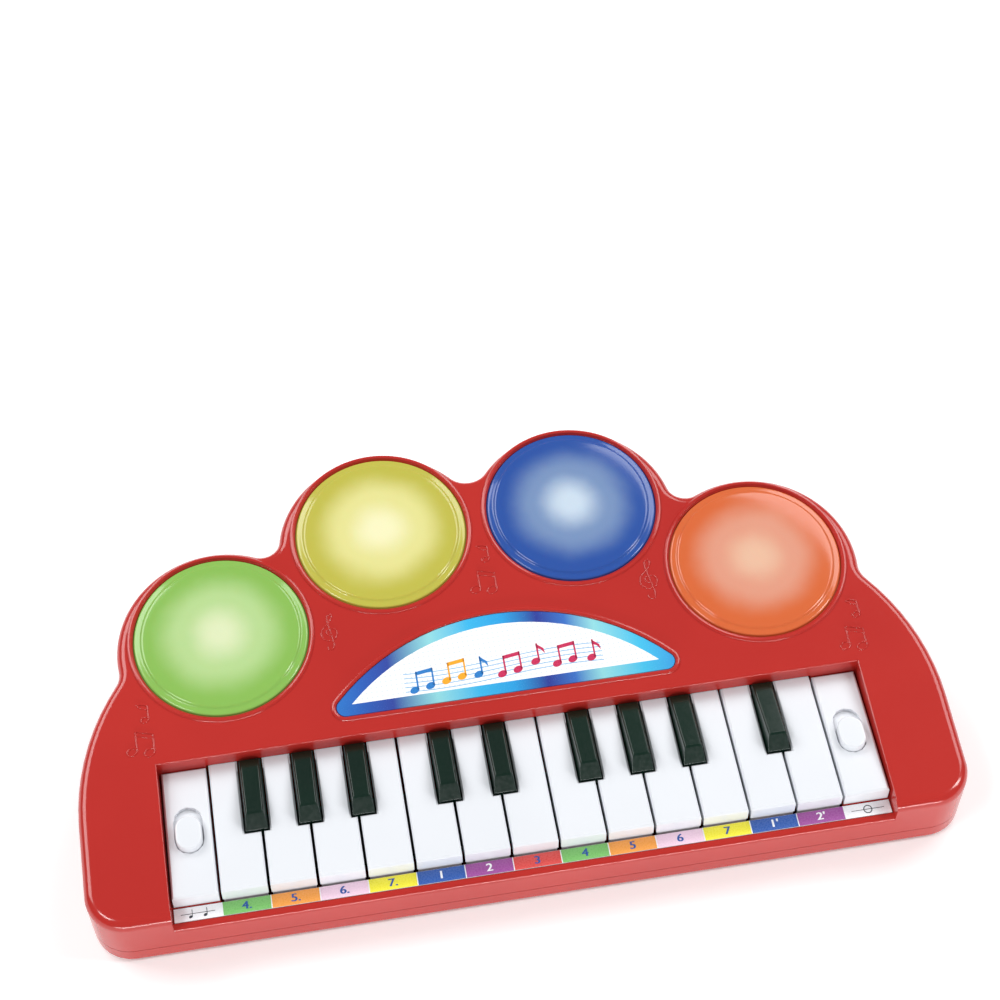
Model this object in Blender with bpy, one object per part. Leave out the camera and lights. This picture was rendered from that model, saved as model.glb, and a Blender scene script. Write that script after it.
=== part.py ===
"""Toy electronic keyboard: 22 hinged keys, four light pads, two slide switches.

The frame is +X to the player's right, +Y away from the player and +Z up. The origin is the
middle of the footprint, on the surface that the rubber feet stand on. Sizes below are in
millimetres; the mesh helpers turn them into metres.
"""
import math

import bmesh
import bpy
from mathutils import Matrix, Vector

MM = 0.001
GAP = 0.3                       # least clearance between two neighbouring pieces

# Case outline, seen from above
HALF_WIDTH = 184.5
DEPTH = 204.4
FRONT = -DEPTH / 2              # the front wall's outer face
CORNER_RADIUS = 17.0
STRIP_FRONT = FRONT + 3.2       # front edge of the coloured note strip
SIDE_RADIUS = 102.0             # the sides curl in towards the pads on this radius
SIDE_START = STRIP_FRONT + 45.0
OUTER_LOBE = (117.6, STRIP_FRONT + 117.3)
OUTER_LOBE_RADIUS = 45.4
INNER_LOBE = (42.7, STRIP_FRONT + 155.2)
INNER_LOBE_RADIUS = 46.0
SIDE_NOTCH = 10.0               # hollow fillet between the side and the outer lobe
LOBE_NOTCH = 8.0                # hollow fillet between the two lobes
MIDDLE_NOTCH = 10.0             # hollow fillet on the centre line
SEGMENT = 14.0                  # degrees of arc per straight step of the outline

# Heights
WALL = 2.0
SHELL_BOTTOM = 1.6              # the feet stand this far proud of the bottom shell
FLOOR = SHELL_BOTTOM + WALL
PARTING = 9.5
KEY_TOP = 31.0
STRIP_LEVEL = KEY_TOP - 7.9
TOP_RISE = 0.09                 # the red top climbs this much per unit of depth
TOP_AT_STRIP = KEY_TOP + 1.6    # height of the red top above the strip's front edge
TOP_TILT = math.atan(TOP_RISE)
EDGE_FILLET = 4.5
BOTTOM_FILLET = 1.2

# Keyboard
KEY_PITCH = 20.0
KEY_SLIT = 1.2                  # between two white keys
WHITE_KEYS = 13
WELL_HALF = 7.5 * KEY_PITCH + GAP
WELL_BACK = STRIP_FRONT + 65.4
KEY_FRONT = STRIP_FRONT + 6.8
KEY_END = WELL_BACK + 1.0
KEY_SKIRT = 24.0                # lower edge of a white key's sides
KEY_WALL = 1.6
STRIP_BACK = STRIP_FRONT + 6.0
KEYS_HALF = WHITE_KEYS / 2 * KEY_PITCH + GAP
PIVOT_Y = WELL_BACK + 12.6
PIVOT_Z = KEY_TOP - 4.0
ROD_RADIUS = 1.5
KEY_BORE = 1.9
KEY_BOSS = 3.6
BLACK_WIDTH = 9.4
BLACK_FRONT = STRIP_FRONT + 32.2
BLACK_CREST = BLACK_FRONT + 5.0  # where the sloped front meets the top
BLACK_HIGH = 6.3                # above the white keys at the crest
BLACK_LOW = 2.0                 # above the white keys at the well's back wall
BLACK_BACK = WELL_BACK - 0.5
THREE_KEYS = 0.11               # outer keys of a group of three stand this share of a pitch outwards
TWO_KEYS = 0.08                 # the same for a group of two
BLACK_BOUNDARIES = {2: -THREE_KEYS, 3: 0.0, 4: THREE_KEYS,
                    6: -TWO_KEYS, 7: TWO_KEYS,
                    9: -THREE_KEYS, 10: 0.0, 11: THREE_KEYS,
                    13: -TWO_KEYS}
WHITE_POST_Y = STRIP_FRONT + 24.0
BLACK_POST_Y = STRIP_FRONT + 42.0
POST_LOW = 20.5
POST_HALF = 1.6                 # half the width of the post that presses a dome
TOE_LOW = 17.6                  # the toe hooks under the shelf that carries the note strip
TOE_HIGH = 19.4

# Pads
OUTER_PAD = (117.6, STRIP_FRONT + 120.2)
INNER_PAD = (42.7, STRIP_FRONT + 159.9)
PAD_RADIUS = 37.4
PAD_HOLE = 37.9
PAD_FLANGE = 38.4
PAD_STEPS = 24
LIGHT_DROP = 13.4               # pad board below the top plane
PADS = {"green": (-1, OUTER_PAD), "yellow": (-1, INNER_PAD),
        "blue": (1, INNER_PAD), "orange": (1, OUTER_PAD)}

# Badge: a half moon with its straight edge towards the keys
BADGE_FRONT = STRIP_FRONT + 74.5
BADGE_DEPTH = 38.0
BADGE_ARC = 98.0
BADGE_TIP = 4.0

# Switches
SLOT_Y = STRIP_FRONT + 36.7
SLOT_SIZE = (12.0, 21.2)
KNOB_SIZE = (11.0, 15.4)
KNOB_TRAVEL = 5.2
SWITCH_X = 7 * KEY_PITCH

# Power and sound
BAY_X = (-91.4, -28.6)
BAY_Y = (STRIP_FRONT + 94.1, STRIP_FRONT + 141.9)
BAY_TOP = 20.4
BAY_WALL = 1.6
BAY_MIDDLE = sum(BAY_X) / 2
DOOR_HINGE_Y = STRIP_FRONT + 138.1
BATTERY_RADIUS = 7.1
BATTERY_LENGTH = 50.2
BATTERY_Z = 12.6
BATTERY_FIRST_Y = STRIP_FRONT + 101.8
BATTERY_PITCH = 14.7
LUG_HALF = 7.0                  # half the width of the door's screwed lug
TAB_REACH = 22.0                # the door's tabs stand this far each side of its middle
DOOR_SCREW_Y = STRIP_FRONT + 89.5
SPEAKER = (62.0, STRIP_FRONT + 122.0)
SPEAKER_RADIUS = 28.5
GRILLE_PITCH = 7.0
GRILLE_HALF = 1.6

# Fixings
CASE_SCREWS = [(-168.0, STRIP_FRONT + 30.0), (168.0, STRIP_FRONT + 30.0),
               (-86.0, STRIP_FRONT + 149.0), (86.0, STRIP_FRONT + 149.0)]
POST_TOP = 14.0
POST_RADIUS = 4.4
BOSS_RADIUS = 3.0
PILOT_RADIUS = 1.5
SCREW_HOLE = 1.6
COUNTERBORE = 3.2
SCREW_TOP = 24.0
KEY_BOARD_LOW = 12.0
MAIN_BOARD_LOW = 10.0
BOARD_THICK = 1.6
BOARD_POSTS = [(x, STRIP_FRONT + 33.0, KEY_BOARD_LOW - GAP) for x in (-110.0, 0.0, 110.0)]
BOARD_POSTS += [(0.0, STRIP_FRONT + y, MAIN_BOARD_LOW - GAP) for y in (104.0, 144.0)]
FEET = [(-158.0, STRIP_FRONT + 12.0), (158.0, STRIP_FRONT + 12.0),
        (-70.0, STRIP_FRONT + 166.0), (70.0, STRIP_FRONT + 166.0)]
FOOT_RADIUS = 7.0
ROD_RIBS = [-KEYS_HALF - 3.0, -2.5 * KEY_PITCH, 0.5 * KEY_PITCH, 4.5 * KEY_PITCH, KEYS_HALF + 3.0]


# ---------------------------------------------------------------- helpers

def clear_scene():
    for item in list(bpy.data.objects):
        bpy.data.objects.remove(item, do_unlink=True)


def material(name, colour, roughness, metallic=0.0):
    """A Principled BSDF with one colour, made once and shared."""
    found = bpy.data.materials.get(name)
    if found:
        return found
    made = bpy.data.materials.new(name)
    made.use_nodes = True
    shader = made.node_tree.nodes["Principled BSDF"]
    shader.inputs["Base Color"].default_value = (*colour, 1.0)
    shader.inputs["Roughness"].default_value = roughness
    shader.inputs["Metallic"].default_value = metallic
    return made


def top_plane(y):
    """Height of the red top above the point at this depth."""
    return TOP_AT_STRIP + TOP_RISE * (y - STRIP_FRONT)


def object_from(name, bm):
    """Link a bmesh that was modelled in millimetres as an object in metres."""
    bmesh.ops.scale(bm, vec=(MM, MM, MM), verts=bm.verts)
    mesh = bpy.data.meshes.new(name)
    bm.to_mesh(mesh)
    bm.free()
    made = bpy.data.objects.new(name, mesh)
    bpy.context.scene.collection.objects.link(made)
    return made


def loft(name, rings, matrix=None):
    """A closed solid through rings of points, lowest first, each counterclockwise from above."""
    bm = bmesh.new()
    levels = [[bm.verts.new(point) for point in ring] for ring in rings]
    for low, high in zip(levels, levels[1:]):
        for i in range(len(low)):
            j = (i + 1) % len(low)
            bm.faces.new((low[i], low[j], high[j], high[i]))
    bm.faces.new(list(reversed(levels[0])))
    bm.faces.new(levels[-1])
    if matrix:
        bmesh.ops.transform(bm, matrix=matrix, verts=bm.verts)
    return object_from(name, bm)


def prism(name, outline, low, high, matrix=None):
    """An outline in XY extruded from one height to another."""
    rings = [[(x, y, z) for x, y in outline] for z in (low, high)]
    return loft(name, rings, matrix)


def box(name, x, y, z):
    outline = [(x[0], y[0]), (x[1], y[0]), (x[1], y[1]), (x[0], y[1])]
    return prism(name, outline, z[0], z[1])


def slab(name, outline, left, right):
    """An outline in YZ, counterclockwise seen from +X, extruded along X."""
    bm = bmesh.new()
    ends = [[bm.verts.new((x, y, z)) for y, z in outline] for x in (left, right)]
    for i in range(len(outline)):
        j = (i + 1) % len(outline)
        bm.faces.new((ends[0][i], ends[0][j], ends[1][j], ends[1][i]))
    bm.faces.new(ends[0])
    bm.faces.new(list(reversed(ends[1])))
    bmesh.ops.recalc_face_normals(bm, faces=bm.faces)
    return object_from(name, bm)


def lathe(name, profile, steps, matrix=None):
    """A profile of (radius, height) turned about Z, from its lower pole to its upper pole."""
    bm = bmesh.new()
    rows = []
    for radius, height in profile:
        if radius == 0:
            rows.append([bm.verts.new((0, 0, height))])
            continue
        rows.append([bm.verts.new((*circle_point((0, 0), radius, 360 * k / steps), height))
                     for k in range(steps)])
    for low, high in zip(rows, rows[1:]):
        for i in range(steps):
            j = (i + 1) % steps
            corners = [low[i % len(low)], low[j % len(low)], high[j % len(high)], high[i % len(high)]]
            bm.faces.new(list(dict.fromkeys(corners)))
    if matrix:
        bmesh.ops.transform(bm, matrix=matrix, verts=bm.verts)
    return object_from(name, bm)


def ring_solid(name, profile, path, matrix=None):
    """A closed profile of (inset, height) swept round a closed path given by path(inset)."""
    bm = bmesh.new()
    loops = [[bm.verts.new((x, y, height)) for x, y in path(inset)] for inset, height in profile]
    for a, b in zip(loops, loops[1:] + loops[:1]):
        for i in range(len(a)):
            j = (i + 1) % len(a)
            bm.faces.new((a[i], a[j], b[j], b[i]))
    bmesh.ops.recalc_face_normals(bm, faces=bm.faces)
    if matrix:
        bmesh.ops.transform(bm, matrix=matrix, verts=bm.verts)
    return object_from(name, bm)


def boolean(target, tool, operation="DIFFERENCE"):
    """Cut or join with another object, keep the result and remove the tool."""
    modifier = target.modifiers.new("join", "BOOLEAN")
    modifier.operation = operation
    modifier.solver = "EXACT"
    modifier.object = tool
    evaluated = target.evaluated_get(bpy.context.evaluated_depsgraph_get())
    result = bpy.data.meshes.new_from_object(evaluated)
    target.modifiers.clear()
    target.data = result
    bpy.data.objects.remove(tool, do_unlink=True)
    return target


def join(target, *tools):
    for tool in tools:
        boolean(target, tool, "UNION")
    return target


def cut(target, *tools):
    for tool in tools:
        boolean(target, tool)
    return target


def finish(piece, surface, origin=(0, 0, 0), smooth=30):
    """Give a piece its material, its origin in millimetres and smooth shading on round faces."""
    shift = Vector(origin) * MM
    piece.data.transform(Matrix.Translation(-shift))
    piece.location = shift
    piece.data.materials.clear()
    piece.data.materials.append(surface)
    for face in piece.data.polygons:
        face.material_index = 0
    piece.data.shade_smooth()
    piece.data.set_sharp_from_angle(angle=math.radians(smooth))
    return piece


# ---------------------------------------------------------------- plane geometry

def circle_point(centre, radius, degrees):
    angle = math.radians(degrees)
    return (centre[0] + radius * math.cos(angle), centre[1] + radius * math.sin(angle))


def bearing(start, end):
    return math.degrees(math.atan2(end[1] - start[1], end[0] - start[0]))


def arc(centre, radius, start, end, clockwise=False):
    """Points from one bearing to another, about SEGMENT degrees apart."""
    sweep = (start - end) % 360 if clockwise else (end - start) % 360
    steps = max(2, round(sweep / SEGMENT))
    turn = -sweep if clockwise else sweep
    return [circle_point(centre, radius, start + turn * k / steps) for k in range(steps + 1)]


def circle(centre, radius, steps):
    return [circle_point(centre, radius, 360 * k / steps) for k in range(steps)]


def notch_centre(first, first_radius, second, second_radius, fillet):
    """Centre of a hollow fillet touching two circles, to the right of the way between them."""
    a = Vector(first)
    b = Vector(second)
    way = (b - a).normalized()
    distance = (b - a).length
    to_first = first_radius + fillet
    to_second = second_radius + fillet
    along = (to_first ** 2 - to_second ** 2 + distance ** 2) / (2 * distance)
    aside = math.sqrt(to_first ** 2 - along ** 2)
    centre = a + way * along + Vector((way.y, -way.x)) * aside
    return (centre.x, centre.y)


def case_outline(inset):
    """The case seen from above, counterclockwise, moved inwards by inset."""
    side = (HALF_WIDTH - SIDE_RADIUS, SIDE_START)
    corner = (HALF_WIDTH - CORNER_RADIUS, FRONT + CORNER_RADIUS)
    mirrored_lobe = (-INNER_LOBE[0], INNER_LOBE[1])
    notch_a = notch_centre(side, SIDE_RADIUS, OUTER_LOBE, OUTER_LOBE_RADIUS, SIDE_NOTCH)
    notch_b = notch_centre(OUTER_LOBE, OUTER_LOBE_RADIUS, INNER_LOBE, INNER_LOBE_RADIUS, LOBE_NOTCH)
    notch_c = notch_centre(INNER_LOBE, INNER_LOBE_RADIUS, mirrored_lobe, INNER_LOBE_RADIUS, MIDDLE_NOTCH)
    half = arc(corner, CORNER_RADIUS - inset, -90, 0)
    half += arc(side, SIDE_RADIUS - inset, 0, bearing(side, notch_a))
    half += arc(notch_a, SIDE_NOTCH + inset, bearing(notch_a, side), bearing(notch_a, OUTER_LOBE), True)[1:]
    half += arc(OUTER_LOBE, OUTER_LOBE_RADIUS - inset, bearing(OUTER_LOBE, notch_a),
                bearing(OUTER_LOBE, notch_b))[1:]
    half += arc(notch_b, LOBE_NOTCH + inset, bearing(notch_b, OUTER_LOBE),
                bearing(notch_b, INNER_LOBE), True)[1:]
    half += arc(INNER_LOBE, INNER_LOBE_RADIUS - inset, bearing(INNER_LOBE, notch_b), 90)[1:]
    half += arc(INNER_LOBE, INNER_LOBE_RADIUS - inset, 90, bearing(INNER_LOBE, notch_c))[1:]
    half += arc(notch_c, MIDDLE_NOTCH + inset, bearing(notch_c, INNER_LOBE), -90, True)[1:]
    return half + [(-x, y) for x, y in reversed(half[:-1])]


def badge_outline(inset):
    """The half moon: a straight front edge, an arc behind it and two rounded tips."""
    centre_y = BADGE_FRONT + BADGE_DEPTH - BADGE_ARC
    tip_y = BADGE_FRONT + BADGE_TIP
    tip_x = math.sqrt((BADGE_ARC - BADGE_TIP) ** 2 - (tip_y - centre_y) ** 2)
    tip = (tip_x, tip_y)
    centre = (0.0, centre_y)
    half = arc(tip, BADGE_TIP - inset, -90, bearing(centre, tip))
    half += arc(centre, BADGE_ARC - inset, bearing(centre, tip), 90)[1:]
    return half + [(-x, y) for x, y in reversed(half[:-1])]


def stadium(centre, width, length, steps=6):
    """A slot outline with round ends, longer along Y."""
    radius = width / 2
    reach = length / 2 - radius
    back = [circle_point((centre[0], centre[1] + reach), radius, 180 * k / steps) for k in range(steps + 1)]
    front = [circle_point((centre[0], centre[1] - reach), radius, 180 + 180 * k / steps)
             for k in range(steps + 1)]
    return back + front


def on_top(x, y):
    """Frame on the sloped top above a point of the plan."""
    return Matrix.Translation((x, y, top_plane(y))) @ Matrix.Rotation(TOP_TILT, 4, "X")


def fillet_steps(radius, count):
    """(inset, drop) pairs round a quarter fillet, from its lower tangent to its upper one."""
    angles = [math.pi / 2 * k / count for k in range(count + 1)]
    return [(radius * (1 - math.cos(a)), radius * (1 - math.sin(a))) for a in angles]


# ---------------------------------------------------------------- case

def case_top_solid():
    rings = [[(x, y, PARTING + GAP / 2) for x, y in case_outline(0)]]
    for inset, drop in fillet_steps(EDGE_FILLET, 2):
        rings.append([(x, y, top_plane(y) - drop) for x, y in case_outline(inset)])
    return loft("top_shell", rings)


def case_top_hollow():
    rings = [[(x, y, PARTING - 1) for x, y in case_outline(WALL)],
             [(x, y, top_plane(y) - WALL) for x, y in case_outline(WALL)]]
    hollow = loft("hollow", rings)
    well_walls = box("well_walls", (-WELL_HALF - WALL, WELL_HALF + WALL), (FRONT - 20, WELL_BACK + WALL),
                     (STRIP_LEVEL - WALL, 80))
    return cut(hollow, well_walls)


def well_cutter():
    """The key well, open to the front over a rounded lip."""
    lip = 2.5
    level = STRIP_LEVEL - 0.2
    curve = [(FRONT + lip - lip * math.sin(a), level - lip + lip * math.cos(a))
             for a in (math.pi / 2 * k / 3 for k in range(4))]
    outline = [(FRONT - 20, level - lip), (FRONT - 20, 80), (WELL_BACK, 80), (WELL_BACK, level)]
    return slab("well", outline + curve, -WELL_HALF, WELL_HALF)


def pad_hole(inset):
    """The edge of a pad's hole; a negative inset lies outside it."""
    return circle((0, 0), PAD_HOLE - inset, PAD_STEPS)


def bead(name, path, matrix=None):
    """A raised rib round an opening, on insets below zero, which lie outside the opening."""
    profile = [(-0.2, -1.8), (-0.2, 0.4), (-0.8, 0.9), (-1.6, 0.8), (-2.3, -0.2), (-2.3, -1.8)]
    return ring_solid(name, profile, path, matrix)


def rod_rib(x):
    """A rib that hangs from the top and carries the pivot rod."""
    near = PIVOT_Y - 5
    far = PIVOT_Y + 5
    root = 0.5 - WALL
    outline = [(near, PIVOT_Z - 4), (far, PIVOT_Z - 4),
               (far, top_plane(far) + root), (near, top_plane(near) + root)]
    return slab("rib", outline, x - 1.0, x + 1.0)


def rod_bore():
    along = Matrix.Translation((0, PIVOT_Y, PIVOT_Z)) @ Matrix.Rotation(math.pi / 2, 4, "Y")
    return prism("bore", circle((0, 0), ROD_RADIUS + GAP, 12), -140, 140, along)


def make_top_shell(red):
    shell = cut(case_top_solid(), case_top_hollow(), well_cutter())
    cut(shell,
        box("key_slot", (-KEYS_HALF, KEYS_HALF), (STRIP_BACK + 0.2, WELL_BACK + 5),
            (STRIP_LEVEL - 8, KEY_TOP + 0.4)),
        box("strip_bed", (-WELL_HALF - 0.01, WELL_HALF + 0.01), (STRIP_FRONT - GAP, STRIP_BACK + 0.4),
            (STRIP_LEVEL - 0.9, STRIP_LEVEL + 1)))
    for side in (-1, 1):
        cut(shell, box("stem_slot", (side * SWITCH_X - 4, side * SWITCH_X + 4), (SLOT_Y - 9, SLOT_Y + 9),
                       (STRIP_LEVEL - 5, STRIP_LEVEL + 2)))
    for side, (x, y) in PADS.values():
        frame = on_top(side * x, y)
        join(shell, bead("pad_bead", pad_hole, frame))
        cut(shell, prism("pad_room", pad_hole(0), -5, 6, frame))
    badge_frame = on_top(0, BADGE_FRONT) @ Matrix.Translation((0, -BADGE_FRONT, 0))
    join(shell, bead("badge_bead", badge_outline, badge_frame))
    cut(shell, prism("badge_bed", badge_outline(-GAP), -1.3, 3, badge_frame))
    for x, y in CASE_SCREWS:
        join(shell, prism("boss", circle((x, y), BOSS_RADIUS, 10), POST_TOP + GAP, top_plane(y) - WALL + 1))
        cut(shell, prism("pilot", circle((x, y), PILOT_RADIUS, 8), POST_TOP - 1, SCREW_TOP + 1))
    join(shell, *[rod_rib(x) for x in ROD_RIBS])
    cut(shell, rod_bore())
    return finish(shell, red)


def make_bottom_shell(red):
    rings = [[(x, y, SHELL_BOTTOM + drop) for x, y in case_outline(inset)]
             for inset, drop in reversed(fillet_steps(BOTTOM_FILLET, 2))]
    rings.append([(x, y, PARTING - GAP / 2) for x, y in case_outline(0)])
    shell = loft("bottom_shell", rings)
    cut(shell, loft("hollow", [[(x, y, z) for x, y in case_outline(WALL)] for z in (FLOOR, PARTING + 1)]))
    join(shell, box("bay", (BAY_X[0] - BAY_WALL, BAY_X[1] + BAY_WALL),
                    (BAY_Y[0] - BAY_WALL, BAY_Y[1] + BAY_WALL), (FLOOR - 0.5, BAY_TOP + BAY_WALL)))
    join(shell, box("door_boss", (BAY_MIDDLE - LUG_HALF - 2, BAY_MIDDLE + LUG_HALF + 2),
                    (BAY_Y[0] - 10, BAY_Y[0] - 0.5), (FLOOR - 0.5, 12)))
    cut(shell, box("bay_room", BAY_X, BAY_Y, (FLOOR, BAY_TOP)),
        box("bay_mouth", BAY_X, (BAY_Y[0], DOOR_HINGE_Y + GAP), (0, FLOOR + 1)),
        box("lug_mouth", (BAY_MIDDLE - LUG_HALF - 0.4, BAY_MIDDLE + LUG_HALF + 0.4),
            (DOOR_SCREW_Y - 4.3, BAY_Y[0] + 1), (0, FLOOR + GAP)),
        prism("door_pilot", circle((BAY_MIDDLE, DOOR_SCREW_Y), 2.0, 12), 1, 11))
    for x, y in CASE_SCREWS:
        join(shell, prism("post", circle((x, y), POST_RADIUS, 12), FLOOR - 0.5, POST_TOP))
        cut(shell, prism("hole", circle((x, y), SCREW_HOLE, 10), 0, POST_TOP + 1),
            prism("counterbore", circle((x, y), COUNTERBORE, 12), 0, SHELL_BOTTOM + 1.5))
    for x, y in FEET:
        cut(shell, prism("foot_bed", circle((x, y), FOOT_RADIUS + GAP, 16), 0, SHELL_BOTTOM + 0.6))
    for side, (x, y) in PADS.values():
        join(shell, prism("pad_post", circle((side * x, y), 4.0, 8), FLOOR - 0.5,
                          top_plane(y) - LIGHT_DROP - GAP))
    for x, y, top in BOARD_POSTS:
        join(shell, prism("board_post", circle((x, y), 3.0, 8), FLOOR - 0.5, top))
    for k in (-2, -1, 0, 1, 2):
        aside = GRILLE_PITCH * k
        reach = math.sqrt((SPEAKER_RADIUS - 7) ** 2 - aside ** 2)
        cut(shell, box("grille_slot", (SPEAKER[0] - reach, SPEAKER[0] + reach),
                       (SPEAKER[1] + aside - GRILLE_HALF, SPEAKER[1] + aside + GRILLE_HALF), (0, FLOOR + 1)))
    return finish(shell, red)


def make_feet(rubber):
    for name, (x, y) in zip(("front_left", "front_right", "rear_left", "rear_right"), FEET):
        foot = lathe(f"foot_{name}", [(0, 0), (FOOT_RADIUS - 0.6, 0), (FOOT_RADIUS, 0.5),
                                      (FOOT_RADIUS, SHELL_BOTTOM + GAP), (0, SHELL_BOTTOM + GAP)], 16)
        foot.data.transform(Matrix.Translation(Vector((x, y, 0)) * MM))
        finish(foot, rubber, (x, y, 0))


def make_screw(name, x, y, low, head_radius, head_height, top, steel):
    profile = [(0, low + 0.5), (0.9, low + 0.5), (0.9, low), (head_radius, low),
               (head_radius, low + head_height), (1.2, low + head_height), (1.2, top - 1), (0, top)]
    screw = lathe(name, profile, 8, Matrix.Translation((x, y, 0)))
    return finish(screw, steel, (x, y, low))


def make_case_screws(steel):
    for name, (x, y) in zip(("front_left", "front_right", "rear_left", "rear_right"), CASE_SCREWS):
        make_screw(f"case_screw_{name}", x, y, SHELL_BOTTOM + 0.1, 2.8, 1.1, SCREW_TOP, steel)


# ---------------------------------------------------------------- keys

def boundary_x(index):
    """X of the line between two cells of the well, counted from its left end."""
    return (index - 7.5) * KEY_PITCH


def black_centre(index):
    return boundary_x(index) + BLACK_BOUNDARIES[index] * KEY_PITCH


def key_tail(name, left, right, start):
    """The thin rear of a key, ending in a round boss on the pivot rod."""
    boss = [(PIVOT_Y + KEY_BOSS * math.cos(a), PIVOT_Z + KEY_BOSS * math.sin(a))
            for a in (math.radians(90 - 30 * k) for k in range(8))]
    outline = [(start, PIVOT_Z - 0.5), (start, PIVOT_Z + KEY_BOSS)] + boss + [(PIVOT_Y - 6, PIVOT_Z - 0.5)]
    return slab(name, outline, left, right)


def pivot_cutter():
    along = Matrix.Translation((0, PIVOT_Y, PIVOT_Z)) @ Matrix.Rotation(math.pi / 2, 4, "Y")
    return prism("bore", circle((0, 0), KEY_BORE, 12), -150, 150, along)


def soften_top(piece, height, width):
    """Round the edges that lie at or above a height."""
    bm = bmesh.new()
    bm.from_mesh(piece.data)
    edges = [e for e in bm.edges if min(v.co.z for v in e.verts) > (height - 0.01) * MM]
    bmesh.ops.bevel(bm, geom=edges, offset=width * MM, segments=1, profile=0.5, affect="EDGES")
    bm.to_mesh(piece.data)
    bm.free()


def tail_side(edge, inwards):
    """A key's tail is narrowed where a rod rib hangs beside it."""
    beside_rib = any(abs(edge - x) < 2 for x in ROD_RIBS)
    return edge + inwards * 1.4 if beside_rib else edge


def key_post(x, y, top):
    return box("post", (x - POST_HALF, x + POST_HALF), (y - POST_HALF, y + POST_HALF), (POST_LOW, top))


def white_key_plan(number):
    """Outline of a white key from above, narrowed beside each neighbouring black key."""
    left = boundary_x(number) + KEY_SLIT / 2
    right = boundary_x(number + 1) - KEY_SLIT / 2
    waist = BLACK_FRONT - 0.6
    rear_left = left
    rear_right = right
    if number in BLACK_BOUNDARIES:
        rear_left = black_centre(number) + BLACK_WIDTH / 2 + 0.6
    if number + 1 in BLACK_BOUNDARIES:
        rear_right = black_centre(number + 1) - BLACK_WIDTH / 2 - 0.6
    plan = [(left, KEY_FRONT), (right, KEY_FRONT)]
    if rear_right != right:
        plan += [(right, waist), (rear_right, waist)]
    plan += [(rear_right, KEY_END), (rear_left, KEY_END)]
    if rear_left != left:
        plan += [(rear_left, waist), (left, waist)]
    return plan, (left, right), (rear_left, rear_right)


def make_white_key(number, white):
    """The skirt in front reaches below the note strip, with a toe that stops the key rising."""
    plan, (left, right), (rear_left, rear_right) = white_key_plan(number)
    name = f"white_key_{number:02d}"
    key = prism(name, plan, KEY_SKIRT, KEY_TOP)
    soften_top(key, KEY_TOP, 0.8)
    room_left = max(left, rear_left) + KEY_WALL
    room_right = min(right, rear_right) - KEY_WALL
    cut(key, box("room", (room_left, room_right), (KEY_FRONT + KEY_WALL, WELL_BACK - 3),
                 (KEY_SKIRT - 1, KEY_TOP - 1.8)))
    join(key,
         box("skirt", (left + 0.4, right - 0.4), (KEY_FRONT + 0.2, KEY_FRONT + KEY_WALL + 0.4),
             (TOE_LOW, KEY_TOP - 1)),
         box("toe", (left + 2, right - 2), (KEY_FRONT - 3, KEY_FRONT + 1), (TOE_LOW, TOE_HIGH)),
         key_post((room_left + room_right) / 2, WHITE_POST_Y, KEY_TOP - 1),
         key_tail("tail", tail_side(rear_left, 1), tail_side(rear_right, -1), WELL_BACK - 4.5))
    cut(key, pivot_cutter())
    return finish(key, white, ((left + right) / 2, PIVOT_Y, PIVOT_Z))


def make_black_key(order, index, black):
    """A wedge, highest behind its sloped front and low where it meets the well's back wall."""
    x = black_centre(index)
    half = BLACK_WIDTH / 2
    crest_half = half - 1.0
    back_half = half - 0.7
    crest = KEY_TOP + BLACK_HIGH
    back = KEY_TOP + BLACK_LOW
    base = [(x - half, BLACK_FRONT), (x + half, BLACK_FRONT), (x + half, BLACK_BACK), (x - half, BLACK_BACK)]
    top = [(x - crest_half, BLACK_CREST, crest), (x + crest_half, BLACK_CREST, crest),
           (x + back_half, BLACK_BACK, back), (x - back_half, BLACK_BACK, back)]
    rings = [[(*p, KEY_SKIRT + 1) for p in base], [(*p, KEY_TOP) for p in base], top]
    key = loft(f"black_key_{order:02d}", rings)
    soften_top(key, KEY_TOP + 1, 0.5)
    cut(key, box("room", (x - half + 1.4, x + half - 1.4), (BLACK_FRONT + 2, BLACK_BACK - 4),
                 (KEY_SKIRT - 1, KEY_TOP)))
    join(key,
         key_post(x, BLACK_POST_Y, KEY_TOP + 1),
         key_tail("tail", x - half + 0.1, x + half - 0.1, BLACK_BACK - 6))
    cut(key, pivot_cutter())
    return finish(key, black, (x, PIVOT_Y, PIVOT_Z))


def make_keys(white, black):
    for number in range(1, WHITE_KEYS + 1):
        make_white_key(number, white)
    for order, index in enumerate(sorted(BLACK_BOUNDARIES), 1):
        make_black_key(order, index, black)


def make_pivot_rod(steel):
    along = Matrix.Translation((0, PIVOT_Y, PIVOT_Z)) @ Matrix.Rotation(math.pi / 2, 4, "Y")
    half = ROD_RIBS[-1] + 3
    finish(prism("key_pivot_rod", circle((0, 0), ROD_RADIUS, 12), -half, half, along), steel)


def make_key_felt(felt):
    top = STRIP_LEVEL - 0.2 - WALL - GAP
    finish(box("key_stop_felt", (-KEYS_HALF + 1, KEYS_HALF - 1), (STRIP_BACK - 5.2, STRIP_BACK - 0.4),
               (top - 0.7, top)), felt)


def make_key_board(board):
    finish(box("key_board", (-129, 129), (STRIP_FRONT + 18, STRIP_FRONT + 48),
               (KEY_BOARD_LOW, KEY_BOARD_LOW + BOARD_THICK)), board)


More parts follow.
